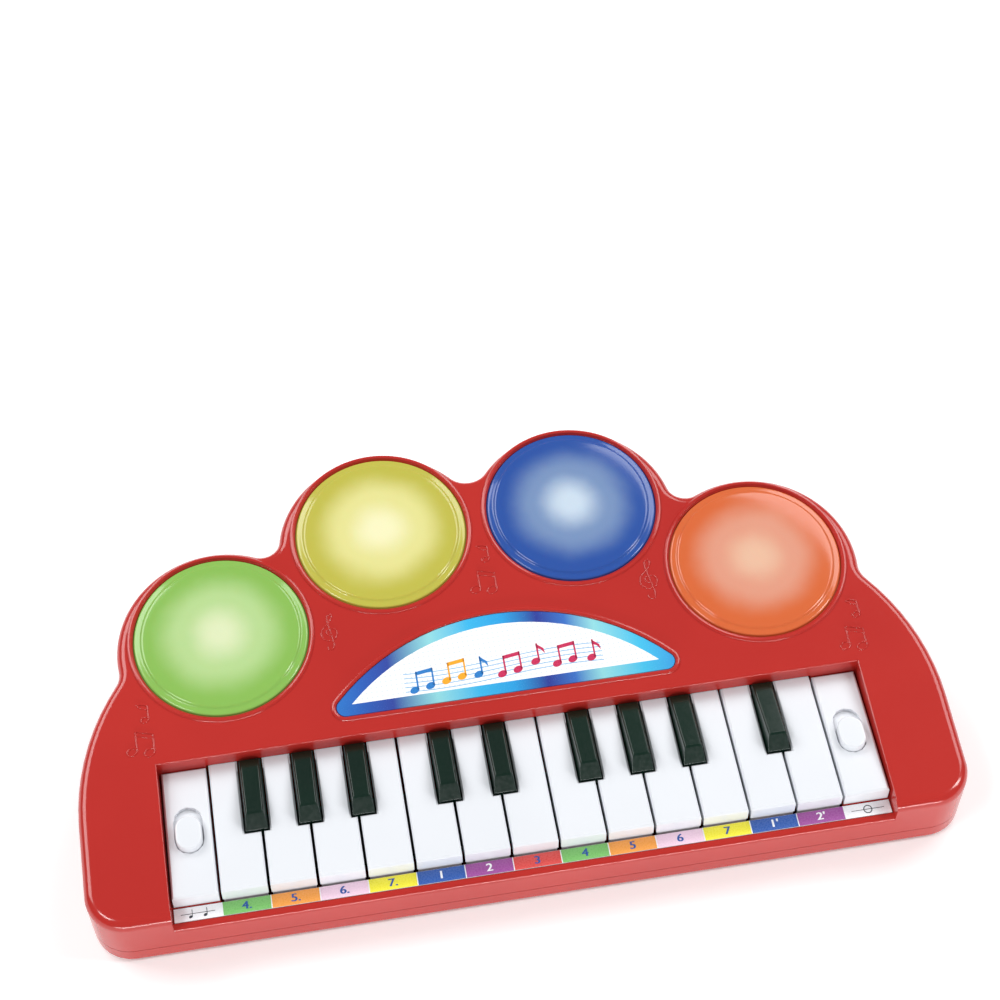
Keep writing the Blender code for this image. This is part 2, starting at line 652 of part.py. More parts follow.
def make_contact_rubber(rubber):
    """One moulded mat with a dome under each key's post."""
    low = KEY_BOARD_LOW + BOARD_THICK + GAP
    mat = box("contact_rubber", (-128, 128), (STRIP_FRONT + 19, STRIP_FRONT + 47), (low, low + 0.8))
    spots = []
    for number in range(1, WHITE_KEYS + 1):
        _, (left, right), (rear_left, rear_right) = white_key_plan(number)
        spots.append(((max(left, rear_left) + min(right, rear_right)) / 2, WHITE_POST_Y))
    spots += [(black_centre(index), BLACK_POST_Y) for index in BLACK_BOUNDARIES]
    for x, y in spots:
        rings = [[(*p, low + z) for p in circle((x, y), r, 6)] for r, z in ((3.4, 0.3), (2.2, 3.5))]
        join(mat, loft("dome", rings))
    finish(mat, rubber)


# ---------------------------------------------------------------- top fittings

def make_pads(colours):
    """Hollow translucent discs with a rounded rim; a flange below the top keeps them in."""
    r = PAD_RADIUS
    profile = [(0, -0.2), (30, -0.4), (r - 2, -2.0), (r - 1.8, -4.0), (PAD_FLANGE, -4.0),
               (PAD_FLANGE, -WALL - 0.5), (r, -WALL - 0.5), (r, 0.3), (r - 0.7, 1.4), (r - 2.2, 2.0),
               (r * 0.6, 2.9), (0, 3.4)]
    for name, (side, (x, y)) in PADS.items():
        pad = lathe(f"pad_{name}", profile, PAD_STEPS, on_top(side * x, y))
        finish(pad, colours[name], (side * x, y, top_plane(y)))


def make_pad_lights(board):
    for name, (side, (x, y)) in PADS.items():
        low = top_plane(y) - LIGHT_DROP
        board_top = low + BOARD_THICK
        profile = [(0, low), (15, low), (15, board_top), (2.6, board_top), (2.6, board_top + 1.6),
                   (1.8, board_top + 2.8), (0, board_top + 3.2)]
        finish(lathe(f"pad_light_{name}", profile, 12, Matrix.Translation((side * x, y, 0))), board,
               (side * x, y, low))


def make_badge(paper):
    badge_frame = on_top(0, BADGE_FRONT) @ Matrix.Translation((0, -BADGE_FRONT, 0))
    finish(prism("badge_plate", badge_outline(0), -1.0, 0.0, badge_frame), paper)


def make_note_strip(paper):
    half = WELL_HALF - 2 * GAP
    finish(box("note_strip", (-half, half), (STRIP_FRONT, STRIP_BACK), (STRIP_LEVEL - 0.6, STRIP_LEVEL)), paper)


def make_switch_panel(name, side, white):
    """A fixed cap shaped like a white key, with a slot for the switch knob."""
    inner = 6.5 * KEY_PITCH + KEY_SLIT / 2
    outer = 7.5 * KEY_PITCH - KEY_SLIT / 2
    x = sorted((side * inner, side * outer))
    panel = box(name, x, (KEY_FRONT, WELL_BACK - GAP), (STRIP_LEVEL + 0.1, KEY_TOP))
    soften_top(panel, KEY_TOP, 0.8)
    cut(panel,
        box("room", (x[0] + KEY_WALL, x[1] - KEY_WALL), (KEY_FRONT + KEY_WALL, WELL_BACK - GAP - KEY_WALL),
            (STRIP_LEVEL - 1, KEY_TOP - KEY_WALL)),
        prism("slot", stadium((side * SWITCH_X, SLOT_Y), *SLOT_SIZE), KEY_TOP - 4, KEY_TOP + 2))
    return finish(panel, white)


def make_slider(name, side, white):
    """A knob on a cover plate that hides the slot's inside, with a stem down to the switch."""
    x = side * SWITCH_X
    knob_y = SLOT_Y - KNOB_TRAVEL / 2  # at the front end of its slot
    slider = prism(name, stadium((x, knob_y), *KNOB_SIZE), KEY_TOP - 2.4, KEY_TOP + 3.6)
    soften_top(slider, KEY_TOP + 3.6, 0.8)
    join(slider,
         box("cover", (x - 7.4, x + 7.4), (knob_y - 15.5, knob_y + 15.5), (KEY_TOP - 3.3, KEY_TOP - 2.0)),
         box("stem", (x - 2.5, x + 2.5), (knob_y - 2.5, knob_y + 2.5), (17.0, KEY_TOP - 3)))
    return finish(slider, white, (x, knob_y, KEY_TOP))


# ---------------------------------------------------------------- inside the case

def make_battery_door(red):
    """A lid with two tabs at its hinged edge and a screwed lug at the other."""
    top = FLOOR - 0.1
    door = box("battery_door", (BAY_X[0] + 0.4, BAY_X[1] - 0.4), (BAY_Y[0] + 0.4, DOOR_HINGE_Y),
               (SHELL_BOTTOM, top))
    join(door, box("lug", (BAY_MIDDLE - LUG_HALF, BAY_MIDDLE + LUG_HALF),
                   (DOOR_SCREW_Y - 3.9, BAY_Y[0] + 1.5), (SHELL_BOTTOM, top)))
    for x in (BAY_MIDDLE - TAB_REACH, BAY_MIDDLE + TAB_REACH):
        join(door,
             box("tab_root", (x - 4, x + 4), (DOOR_HINGE_Y - 3, DOOR_HINGE_Y - 1), (top - 0.4, FLOOR + 1.8)),
             box("tab", (x - 4, x + 4), (DOOR_HINGE_Y - 2.5, DOOR_HINGE_Y + 2.8), (FLOOR + 0.5, FLOOR + 1.9)))
    cut(door, prism("hole", circle((BAY_MIDDLE, DOOR_SCREW_Y), SCREW_HOLE, 10), 0, 6),
        prism("counterbore", circle((BAY_MIDDLE, DOOR_SCREW_Y), 3.1, 12), 0, SHELL_BOTTOM + 1.2))
    return finish(door, red, (BAY_MIDDLE, DOOR_HINGE_Y, SHELL_BOTTOM))


def make_batteries(jacket):
    for k in range(3):
        y = BATTERY_FIRST_Y + BATTERY_PITCH * k
        half = BATTERY_LENGTH / 2
        turn = 1 if k % 2 == 0 else -1
        profile = [(0, -half), (5.5, -half), (BATTERY_RADIUS, -half + 0.8), (BATTERY_RADIUS, half - 2.2),
                   (2.7, half - 2.0), (2.7, half), (0, half)]
        frame = Matrix.Translation((BAY_MIDDLE, y, BATTERY_Z)) @ Matrix.Rotation(turn * math.pi / 2, 4, "Y")
        finish(lathe(f"battery_{k + 1}", profile, 12, frame), jacket, (BAY_MIDDLE, y, BATTERY_Z))


def make_battery_contacts(steel):
    """A plate with three pressed studs at each end of the bay."""
    for name, x, way in (("left", BAY_X[0] + 0.3, 1), ("right", BAY_X[1] - 0.3, -1)):
        plate = box(f"battery_contact_{name}", sorted((x, x + 0.8 * way)), (BAY_Y[0] + 1, BAY_Y[0] + 43),
                    (BATTERY_Z - 6.1, BATTERY_Z + 5.9))
        for k in range(3):
            y = BATTERY_FIRST_Y + BATTERY_PITCH * k
            frame = Matrix.Translation((x + 0.5 * way, y, BATTERY_Z)) @ Matrix.Rotation(way * math.pi / 2, 4, "Y")
            rings = [[(*p, z) for p in circle((0, 0), r, 8)] for r, z in ((4.0, 0), (2.0, 5.2))]
            join(plate, loft("stud", rings, frame))
        finish(plate, steel)


def make_speaker(steel, paper):
    """A round drive unit that faces down on to the slots in the floor."""
    low = FLOOR + GAP
    frame = Matrix.Translation((*SPEAKER, 0))
    basket = [(0, low + 10), (11, low + 10), (24.5, low + 2.5), (24.5, low), (SPEAKER_RADIUS, low),
              (SPEAKER_RADIUS, low + 1.8), (25.5, low + 4), (15, low + 11.5), (15, low + 16), (0, low + 16)]
    finish(lathe("speaker_frame", basket, 16, frame), steel, (*SPEAKER, low))
    cone = [(0, low + 6.5), (7, low + 5.5), (9, low + 7.6), (23, low + 0.6), (24, low + 0.9), (24, low + 1.6),
            (10, low + 8.8), (0, low + 8.8)]
    finish(lathe("speaker_cone", cone, 16, frame), paper, (*SPEAKER, low))


def make_main_board(board):
    """The circuit board with its sound chip, standing on two posts."""
    top = MAIN_BOARD_LOW + BOARD_THICK
    pcb = box("main_board", (-22, 22), (STRIP_FRONT + 98, STRIP_FRONT + 150), (MAIN_BOARD_LOW, top))
    join(pcb, box("chip", (-9, 9), (STRIP_FRONT + 116, STRIP_FRONT + 128), (top - 0.4, top + 1.8)))
    finish(pcb, board)


def build():
    clear_scene()
    red = material("red_abs", (0.56, 0.035, 0.028), 0.25)
    white = material("white_abs", (0.93, 0.94, 0.96), 0.3)
    black = material("black_abs", (0.006, 0.022, 0.016), 0.3)
    steel = material("bright_steel", (0.6, 0.6, 0.62), 0.3, 1.0)
    rubber = material("black_rubber", (0.03, 0.03, 0.03), 0.8)
    grey_rubber = material("grey_rubber", (0.25, 0.26, 0.27), 0.7)
    board = material("green_board", (0.03, 0.16, 0.06), 0.5)
    print_film = material("printed_film", (0.85, 0.87, 0.9), 0.35)
    felt = material("green_felt", (0.05, 0.15, 0.08), 0.95)
    jacket = material("battery_jacket", (0.12, 0.12, 0.13), 0.35)
    cone_paper = material("cone_paper", (0.05, 0.05, 0.055), 0.9)
    colours = {"green": material("pad_green", (0.27, 0.57, 0.09), 0.2),
               "yellow": material("pad_yellow", (0.67, 0.65, 0.07), 0.2),
               "blue": material("pad_blue", (0.04, 0.10, 0.42), 0.2),
               "orange": material("pad_orange", (0.74, 0.17, 0.04), 0.2)}
    make_top_shell(red)
    make_bottom_shell(red)
    make_feet(rubber)
    make_case_screws(steel)
    make_keys(white, black)
    make_pivot_rod(steel)
    make_key_felt(felt)
    make_key_board(board)
    make_contact_rubber(grey_rubber)
    make_pads(colours)
    make_pad_lights(board)
    make_badge(print_film)
    make_note_strip(print_film)
    make_switch_panel("switch_panel_left", -1, white)
    make_switch_panel("switch_panel_right", 1, white)
    make_slider("mode_slider", -1, white)
    make_slider("power_slider", 1, white)
    make_battery_door(red)
    make_screw("battery_door_screw", BAY_MIDDLE, DOOR_SCREW_Y, SHELL_BOTTOM + 0.1, 2.7, 0.8, 10, steel)
    make_batteries(jacket)
    make_battery_contacts(steel)
    make_speaker(steel, cone_paper)
    make_main_board(board)


build()
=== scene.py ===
# Toy electronic keyboard: the looks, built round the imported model.
import math

import bmesh
import bpy
from mathutils import Matrix, Vector


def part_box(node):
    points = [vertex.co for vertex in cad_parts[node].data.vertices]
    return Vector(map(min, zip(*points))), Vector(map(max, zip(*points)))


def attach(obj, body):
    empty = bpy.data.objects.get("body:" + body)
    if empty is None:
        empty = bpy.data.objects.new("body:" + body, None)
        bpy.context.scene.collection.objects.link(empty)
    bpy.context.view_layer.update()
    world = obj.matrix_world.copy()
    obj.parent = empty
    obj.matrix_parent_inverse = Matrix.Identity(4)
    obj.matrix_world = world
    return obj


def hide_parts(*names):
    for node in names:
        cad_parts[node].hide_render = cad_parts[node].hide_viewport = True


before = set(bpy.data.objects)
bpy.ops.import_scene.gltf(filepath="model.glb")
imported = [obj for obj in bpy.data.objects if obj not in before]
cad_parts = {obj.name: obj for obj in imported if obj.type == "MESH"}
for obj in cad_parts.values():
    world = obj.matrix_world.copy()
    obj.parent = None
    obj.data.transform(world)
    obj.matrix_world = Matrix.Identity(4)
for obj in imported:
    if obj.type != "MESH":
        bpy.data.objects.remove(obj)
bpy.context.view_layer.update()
mm = 0.001
print("frame loaded")


# small tools

def pick(*pieces):
    # selects only these, the first one active
    bpy.ops.object.select_all(action="DESELECT")
    for piece in pieces:
        piece.select_set(True)
    bpy.context.view_layer.objects.active = pieces[0]


def bake(piece):
    # puts the piece's place into its mesh
    pick(piece)
    bpy.ops.object.transform_apply(location=True, rotation=True, scale=True)


def placed(piece, matrix):
    piece.matrix_world = matrix
    bake(piece)
    return piece


def grown(name, points, move):
    # a circle with one vertex for each point, pulled to them and extruded; sizes in millimetres
    bpy.ops.object.select_all(action="DESELECT")
    bpy.ops.mesh.primitive_circle_add(vertices=len(points), fill_type="NGON")
    piece = bpy.context.object
    piece.name = name
    for vertex, point in zip(piece.data.vertices, points):
        vertex.co = Vector(point) * mm
    bpy.ops.object.mode_set(mode="EDIT")
    bpy.ops.mesh.select_all(action="SELECT")
    bpy.ops.mesh.extrude_region_move(TRANSFORM_OT_translate={"value": Vector(move) * mm})
    bpy.ops.mesh.select_all(action="SELECT")
    bpy.ops.mesh.normals_make_consistent(inside=False)
    bpy.ops.object.mode_set(mode="OBJECT")
    return piece


def plate(name, outline, low, high):
    return grown(name, [(x, y, low) for x, y in outline], (0, 0, high - low))


def bar(name, outline, left, right):
    # an outline in YZ, extruded along X
    return grown(name, [(left, y, z) for y, z in outline], (right - left, 0, 0))


def block(name, x, y, z):
    return plate(name, [(x[0], y[0]), (x[1], y[0]), (x[1], y[1]), (x[0], y[1])], z[0], z[1])


def turned(name, profile, steps):
    # a disc grown ring by ring along a profile of (radius, height), lowest first
    radius, height = profile[0]
    bpy.ops.object.select_all(action="DESELECT")
    bpy.ops.mesh.primitive_circle_add(vertices=steps, radius=radius * mm, fill_type="NGON",
                                      location=(0, 0, height * mm))
    piece = bpy.context.object
    piece.name = name
    bake(piece)
    bpy.ops.object.mode_set(mode="EDIT")
    bpy.ops.mesh.select_all(action="SELECT")
    for nextRadius, nextHeight in profile[1:]:
        bpy.ops.mesh.extrude_region_move(TRANSFORM_OT_translate={"value": (0, 0, (nextHeight - height) * mm)})
        size = nextRadius / radius
        bpy.ops.transform.resize(value=(size, size, 1), center_override=(0, 0, nextHeight * mm))
        radius, height = nextRadius, nextHeight
    bpy.ops.mesh.select_all(action="SELECT")
    bpy.ops.mesh.normals_make_consistent(inside=False)
    bpy.ops.object.mode_set(mode="OBJECT")
    return piece


def combine(piece, tool, operation="DIFFERENCE"):
    pick(piece)
    bpy.ops.object.modifier_add(type="BOOLEAN")
    modifier = piece.modifiers[-1]
    modifier.operation = operation
    modifier.solver = "EXACT"
    modifier.object = tool
    bpy.ops.object.modifier_apply(modifier=modifier.name)
    discard(tool)
    return piece


def bevelEdges(piece, test, width, segments, clamp=True):
    # rounds the edges that pass the test; the test gets the edge and its two ends in millimetres
    pick(piece)
    bpy.ops.object.mode_set(mode="EDIT")
    bpy.ops.mesh.select_mode(type="EDGE")
    bpy.ops.mesh.select_all(action="DESELECT")
    mesh = bmesh.from_edit_mesh(piece.data)
    for edge in mesh.edges:
        if test(edge, edge.verts[0].co / mm, edge.verts[1].co / mm):
            edge.select_set(True)
    bmesh.update_edit_mesh(piece.data)
    bpy.ops.mesh.bevel(offset=width * mm, segments=segments, affect="EDGES", clamp_overlap=clamp)
    bpy.ops.object.mode_set(mode="OBJECT")
    return piece


def refined(name, node, test, width, segments):
    # a merged copy of a CAD node with the chosen edges rounded
    piece = bpy.data.objects.new(name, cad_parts[node].data.copy())
    bpy.context.scene.collection.objects.link(piece)
    pick(piece)
    bpy.ops.mesh.customdata_custom_splitnormals_clear()
    bpy.ops.object.mode_set(mode="EDIT")
    bpy.ops.mesh.select_all(action="SELECT")
    bpy.ops.mesh.remove_doubles(threshold=0.01 * mm)
    bpy.ops.mesh.dissolve_limited(angle_limit=math.radians(0.5))
    bpy.ops.object.mode_set(mode="OBJECT")
    return bevelEdges(piece, test, width, segments)


def finished(piece, material, body, slotName, *nodes, angle=35):
    # material, smooth shading that keeps the flat faces flat, and its body in the frame
    bake(piece)
    piece.data.materials.clear()
    piece.data.materials.append(material)
    bpy.ops.object.shade_smooth_by_angle(angle=math.radians(angle))
    bpy.ops.object.modifier_add(type="WEIGHTED_NORMAL")
    piece.modifiers[-1].keep_sharp = True
    bpy.ops.object.modifier_apply(modifier=piece.modifiers[-1].name)
    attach(piece, body)
    if nodes:
        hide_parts(*nodes)
    return piece


def twin(original, name, matrix):
    # one more of the same piece, with a mesh of its own
    piece = original.copy()
    piece.data = original.data.copy()
    piece.name = name
    bpy.context.scene.collection.objects.link(piece)
    return placed(piece, matrix)


def discard(*originals):
    for original in originals:
        bpy.data.objects.remove(original, do_unlink=True)


def merged(name, pieces):
    pick(*pieces)
    if len(pieces) > 1:
        bpy.ops.object.join()
    pieces[0].name = name
    return pieces[0]


# outlines, in millimetres

arcStep = 4  # degrees between two points of an arc


def roundPoint(centre, radius, degrees):
    turn = math.radians(degrees)
    return (centre[0] + radius * math.cos(turn), centre[1] + radius * math.sin(turn))


def bearing(start, end):
    return math.degrees(math.atan2(end[1] - start[1], end[0] - start[0]))


def arc(centre, radius, start, end, clockwise=False):
    sweep = (start - end) % 360 if clockwise else (end - start) % 360
    steps = max(3, round(sweep / arcStep))
    turn = -sweep if clockwise else sweep
    return [roundPoint(centre, radius, start + turn * k / steps) for k in range(steps + 1)]


def ring(centre, radius, steps):
    return [roundPoint(centre, radius, 360 * k / steps) for k in range(steps)]


def hollowCentre(first, firstRadius, second, secondRadius, fillet):
    # centre of a hollow fillet that touches two circles
    a, b = Vector(first), Vector(second)
    way, distance = (b - a).normalized(), (b - a).length
    toFirst, toSecond = firstRadius + fillet, secondRadius + fillet
    along = (toFirst ** 2 - toSecond ** 2 + distance ** 2) / (2 * distance)
    aside = math.sqrt(toFirst ** 2 - along ** 2)
    return tuple(a + way * along + Vector((way.y, -way.x)) * aside)


caseShape = {
    "halfWidth": 184.5, "front": -102.2, "cornerRadius": 17.0,
    "sideRadius": 102.0, "sideStart": -54.0,
    "outerLobe": (117.6, 18.3), "outerRadius": 45.4,
    "innerLobe": (42.7, 56.2), "innerRadius": 46.0,
    "sideNotch": 10.0, "lobeNotch": 8.0, "middleNotch": 10.0,
    "wall": 2.0, "bottom": 1.6, "parting": 9.5, "gap": 0.3,
    "topAtStrip": 32.6, "rise": 0.09, "stripFront": -99.0,
    "topFillet": 4.5, "bottomFillet": 1.2, "rimRadius": 0.9,
    "beadRadius": 1.15, "beadSink": 0.35,
}
tilt = math.atan(caseShape["rise"])


def caseOutline(inset):
    # seen from above, counterclockwise
    s = caseShape
    side = (s["halfWidth"] - s["sideRadius"], s["sideStart"])
    corner = (s["halfWidth"] - s["cornerRadius"], s["front"] + s["cornerRadius"])
    outer, outerRadius = s["outerLobe"], s["outerRadius"]
    inner, innerRadius = s["innerLobe"], s["innerRadius"]
    mirrored = (-inner[0], inner[1])
    notchA = hollowCentre(side, s["sideRadius"], outer, outerRadius, s["sideNotch"])
    notchB = hollowCentre(outer, outerRadius, inner, innerRadius, s["lobeNotch"])
    notchC = hollowCentre(inner, innerRadius, mirrored, innerRadius, s["middleNotch"])
    half = arc(corner, s["cornerRadius"] - inset, -90, 0)
    half += arc(side, s["sideRadius"] - inset, 0, bearing(side, notchA))
    half += arc(notchA, s["sideNotch"] + inset, bearing(notchA, side), bearing(notchA, outer), True)[1:]
    half += arc(outer, outerRadius - inset, bearing(outer, notchA), bearing(outer, notchB))[1:]
    half += arc(notchB, s["lobeNotch"] + inset, bearing(notchB, outer), bearing(notchB, inner), True)[1:]
    half += arc(inner, innerRadius - inset, bearing(inner, notchB), 90)[1:]
    half += arc(inner, innerRadius - inset, 90, bearing(inner, notchC))[1:]
    half += arc(notchC, s["middleNotch"] + inset, bearing(notchC, inner), -90, True)[1:]
    return half + [(-x, y) for x, y in reversed(half[:-1])]


badgeShape = {"front": -24.5, "depth": 38.0, "radius": 98.0, "tip": 4.0, "border": 5.1,
              "beadOut": 1.35, "bedDepth": 1.3}


def badgeOutline(inset):
    # a half moon with its straight edge towards the keys
    s = badgeShape
    centre = (0.0, s["front"] + s["depth"] - s["radius"])
    tipY = s["front"] + s["tip"]
    tip = (math.sqrt((s["radius"] - s["tip"]) ** 2 - (tipY - centre[1]) ** 2), tipY)
    half = arc(tip, s["tip"] - inset, -90, bearing(centre, tip))
    half += arc(centre, s["radius"] - inset, bearing(centre, tip), 90)[1:]
    return half + [(-x, y) for x, y in reversed(half[:-1])]


def badgeField():
    # the white field inside the border, with pointed ends
    s = badgeShape
    centreY, level = s["front"] + s["depth"] - s["radius"], s["front"] + s["border"]
    radius = s["radius"] - s["border"]
    lean = math.degrees(math.asin((level - centreY) / radius))
    return arc((0, centreY), radius, lean, 180 - lean)


def topHeight(y):
    return caseShape["topAtStrip"] + caseShape["rise"] * (y - caseShape["stripFront"])


def onTop(x, y):
    # frame on the sloped top above a point, in metres
    return Matrix.Translation((x * mm, y * mm, topHeight(y) * mm)) @ Matrix.Rotation(tilt, 4, "X")


badgeFrame = onTop(0, badgeShape["front"]) @ Matrix.Translation((0, -badgeShape["front"] * mm, 0))


# materials

def linear(hexColour):
    # sRGB hex to the linear values that shaders take
    parts = [int(hexColour[i:i + 2], 16) / 255 for i in (1, 3, 5)]
    return (*[p / 12.92 if p <= 0.04045 else ((p + 0.055) / 1.055) ** 2.4 for p in parts], 1)


def addNode(tree, kind, inputs=None, links=None, **settings):
    node = tree.nodes.new(kind)
    for name, value in settings.items():
        setattr(node, name, value)
    for name, value in (inputs or {}).items():
        node.inputs[name].default_value = value
    for name, source in (links or {}).items():
        tree.links.new(source, node.inputs[name])
    return node


def surfaceFinish(name, colour, shade, roughness, ior=1.54, metal=False, grain=1.5, bump=0.012, patch=60.0):
    # a moulded or coated solid: slow drift between two close colours, and a fine surface ripple
    made = bpy.data.materials.new(name)
    made.use_nodes = True
    tree = made.node_tree
    shader = tree.nodes["Principled BSDF"]
    if metal:  # a metal keeps the shader's own IOR
        shader.inputs["Metallic"].default_value = 1.0
    else:
        shader.inputs["IOR"].default_value = ior
    where = addNode(tree, "ShaderNodeTexCoord").outputs["Object"]
    drift = addNode(tree, "ShaderNodeTexNoise", {"Scale": 1 / (patch * mm), "Detail": 2.0}, {"Vector": where})
    ramp = addNode(tree, "ShaderNodeValToRGB", links={"Fac": drift.outputs["Fac"]})
    ramp.color_ramp.elements[0].position = 0.35
    ramp.color_ramp.elements[0].color = linear(shade)
    ramp.color_ramp.elements[1].position = 0.65
    ramp.color_ramp.elements[1].color = linear(colour)
    tree.links.new(ramp.outputs["Color"], shader.inputs["Base Color"])
    ripple = addNode(tree, "ShaderNodeTexNoise", {"Scale": 1 / (grain * mm), "Detail": 3.0}, {"Vector": where})
    polish = addNode(tree, "ShaderNodeMapRange",
                     {"From Min": 0.3, "From Max": 0.7, "To Min": roughness * 0.85, "To Max": roughness * 1.15},
                     {"Value": ripple.outputs["Fac"]})
    tree.links.new(polish.outputs["Result"], shader.inputs["Roughness"])
    raised = addNode(tree, "ShaderNodeBump", {"Strength": 1.0, "Distance": bump * mm},
                     {"Height": ripple.outputs["Fac"]})
    tree.links.new(raised.outputs["Normal"], shader.inputs["Normal"])
    return made


# painted glow strength, and how far the painted pool of lamp light reaches
padLook = {
    "ior": 1.54, "roughness": 0.12, "paintedGlow": 0.22, "depth": 0.15, "reach": 38.0, "hazeSize": 14.0, "hazeBlur": 4.0,
    "paintedGlowEnd": 0.12, "middleAt": 0.5, "rimStart": 0.88,  # shares of the reach
}


def padPlasticWithPaintedGlow(name, centre, paintedGlowCentre, middle, rim):
    # translucent ABS over a lamp, with painted glow: the whole pad emits its ramp colour, and a painted pool of
    # lamp light makes it whitest above the lamp, full colour at the rim
    made = bpy.data.materials.new(name)
    made.use_nodes = True
    tree = made.node_tree
    shader = tree.nodes["Principled BSDF"]
    shader.inputs["IOR"].default_value = padLook["ior"]
    shader.inputs["Roughness"].default_value = padLook["roughness"]
    # painted glow: the pad itself emits light, though it is no lamp
    shader.inputs["Emission Strength"].default_value = padLook["paintedGlow"]
    shader.inputs["Subsurface Weight"].default_value = padLook["depth"]
    shader.inputs["Subsurface Scale"].default_value = 4 * mm
    where = addNode(tree, "ShaderNodeTexCoord").outputs["Object"]
    shifted = addNode(tree, "ShaderNodeMapping", {"Location": [-c * mm for c in centre]}, {"Vector": where})
    far = addNode(tree, "ShaderNodeVectorMath", links={0: shifted.outputs["Vector"]}, operation="LENGTH")
    haze = addNode(tree, "ShaderNodeTexNoise", {"Scale": 1 / (padLook["hazeSize"] * mm), "Detail": 2.0},
                   {"Vector": where})
    blur = addNode(tree, "ShaderNodeMath", {1: padLook["hazeBlur"] * mm}, {0: haze.outputs["Fac"]},
                   operation="MULTIPLY")
    reach = addNode(tree, "ShaderNodeMath", links={0: far.outputs["Value"], 1: blur.outputs["Value"]},
                    operation="ADD")
    share = addNode(tree, "ShaderNodeMapRange", {"From Min": 0.0, "From Max": padLook["reach"] * mm},
                    {"Value": reach.outputs["Value"]})
    ramp = addNode(tree, "ShaderNodeValToRGB", links={"Fac": share.outputs["Result"]})
    ramp.color_ramp.interpolation = "EASE"
    stops = ramp.color_ramp.elements
    # painted pool of lamp light: whitest inside this share of the reach, with noise blurring its edge
    stops[0].position, stops[0].color = padLook["paintedGlowEnd"], linear(paintedGlowCentre)
    stops[1].position, stops[1].color = padLook["rimStart"], linear(rim)
    stops.new(padLook["middleAt"]).color = linear(middle)
    tree.links.new(ramp.outputs["Color"], shader.inputs["Base Color"])
    # the same ramp colours are emitted as painted glow
    tree.links.new(ramp.outputs["Color"], shader.inputs["Emission Color"])
    return made


# high-gloss injection-moulded ABS: clear soft reflections on a warm red
redAbs = surfaceFinish("redMouldedAbs", "#B82D27", "#B32A25", 0.15)
# polished white ABS: bright and faintly cold, with soft edges to its reflections
whiteAbs = surfaceFinish("whitePolishedAbs", "#E6E9EE", "#E3E6EB", 0.2)
# near-black ABS whose pigment leans green: satin, so the slopes show apart from the tops
blackAbs = surfaceFinish("greenBlackAbs", "#062319", "#051D15", 0.2, bump=0.004)
# moulded rubber: dull, with no clear reflection
rubberBlack = surfaceFinish("mouldedRubber", "#1B1B1D", "#151517", 0.75, ior=1.52, grain=0.6, bump=0.05)
# silicone rubber: a soft grey sheen
siliconeGrey = surfaceFinish("siliconeRubber", "#8A8D90", "#808386", 0.6, ior=1.41, grain=0.8)
# zinc-plated steel: a blurred cool mirror
zincSteel = surfaceFinish("zincPlatedSteel", "#C9CACC", "#B9BABD", 0.3, metal=True, grain=0.4)
# pressed felt: matt, with a fine fibre
feltGreen = surfaceFinish("pressedFelt", "#2F6A44", "#27593A", 0.95, ior=1.5, grain=0.5, bump=0.2)
# lacquer on a circuit board: smooth mid green
solderMask = surfaceFinish("greenSolderMask", "#1E6A35", "#18582B", 0.35, ior=1.5, grain=3.0, bump=0.03)
# pressed paper: flat dark grey
conePaper = surfaceFinish("pressedConePaper", "#26262A", "#1F1F23", 0.9, ior=1.5, grain=0.9, bump=0.08)
# printed film round a cell: dark with a slight shine
jacket = surfaceFinish("batteryJacket", "#2E2F33", "#26272B", 0.3, grain=2.0)
print("materials made")


# case

def slopeCut(piece, drop):
    # cuts the piece off along the sloped top, lowered by drop
    height = (topHeight(0) - drop) * mm
    pick(piece)
    bpy.ops.object.mode_set(mode="EDIT")
    bpy.ops.mesh.select_all(action="SELECT")
    bpy.ops.mesh.bisect(plane_co=(0, 0, height), plane_no=(0, -math.sin(tilt), math.cos(tilt)),
                        use_fill=True, clear_outer=True)
    bpy.ops.object.mode_set(mode="OBJECT")
    return piece


def onSlope(point, tolerance=0.02):
    return abs(point.z - topHeight(point.y)) < tolerance


wellShape = {
    "half": 150.3, "back": -33.6, "level": 22.9, "lip": 2.5, "wall": 2.0, "wallBottom": 21.1,
    "slotHalf": 130.3, "slotFront": -92.8, "slotLow": 15.0, "slotHigh": 31.4,
    "bedBack": -92.6, "bedLow": 22.2, "bedHigh": 24.1,
    "stemX": 140.0, "stemHalf": 4.0, "stemFront": -71.3, "stemBack": -53.3, "stemLow": 18.0, "stemHigh": 25.0,
}
padCentres = {"green": (-117.6, 21.2), "yellow": (-42.7, 60.9), "blue": (42.7, 60.9), "orange": (117.6, 21.2)}
padShape = {"hole": 37.9, "radius": 37.4, "beadCentre": 39.25, "steps": 96}


def beadRing(name, points):
    # a half-sunk round bead along a closed outline
    bpy.ops.object.select_all(action="DESELECT")
    bpy.ops.mesh.primitive_circle_add(vertices=len(points))
    piece = bpy.context.object
    piece.name = name
    for vertex, (x, y) in zip(piece.data.vertices, points):
        vertex.co = (x * mm, y * mm, -caseShape["beadSink"] * mm)
    bpy.ops.object.convert(target="CURVE")
    piece = bpy.context.object
    piece.data.bevel_depth = caseShape["beadRadius"] * mm
    piece.data.bevel_resolution = 4
    bpy.ops.object.convert(target="MESH")
    return bpy.context.object


def wellTool():
    s = wellShape
    far, high = caseShape["front"] - 20, 80
    lip = [roundPoint((caseShape["front"] + s["lip"], s["level"] - s["lip"]), s["lip"], 90 + 90 * k / 6)
           for k in range(7)]
    outline = [(far, s["level"] - s["lip"]), (far, high), (s["back"], high), (s["back"], s["level"])] + lip
    return bar("wellTool", outline, -s["half"], s["half"])


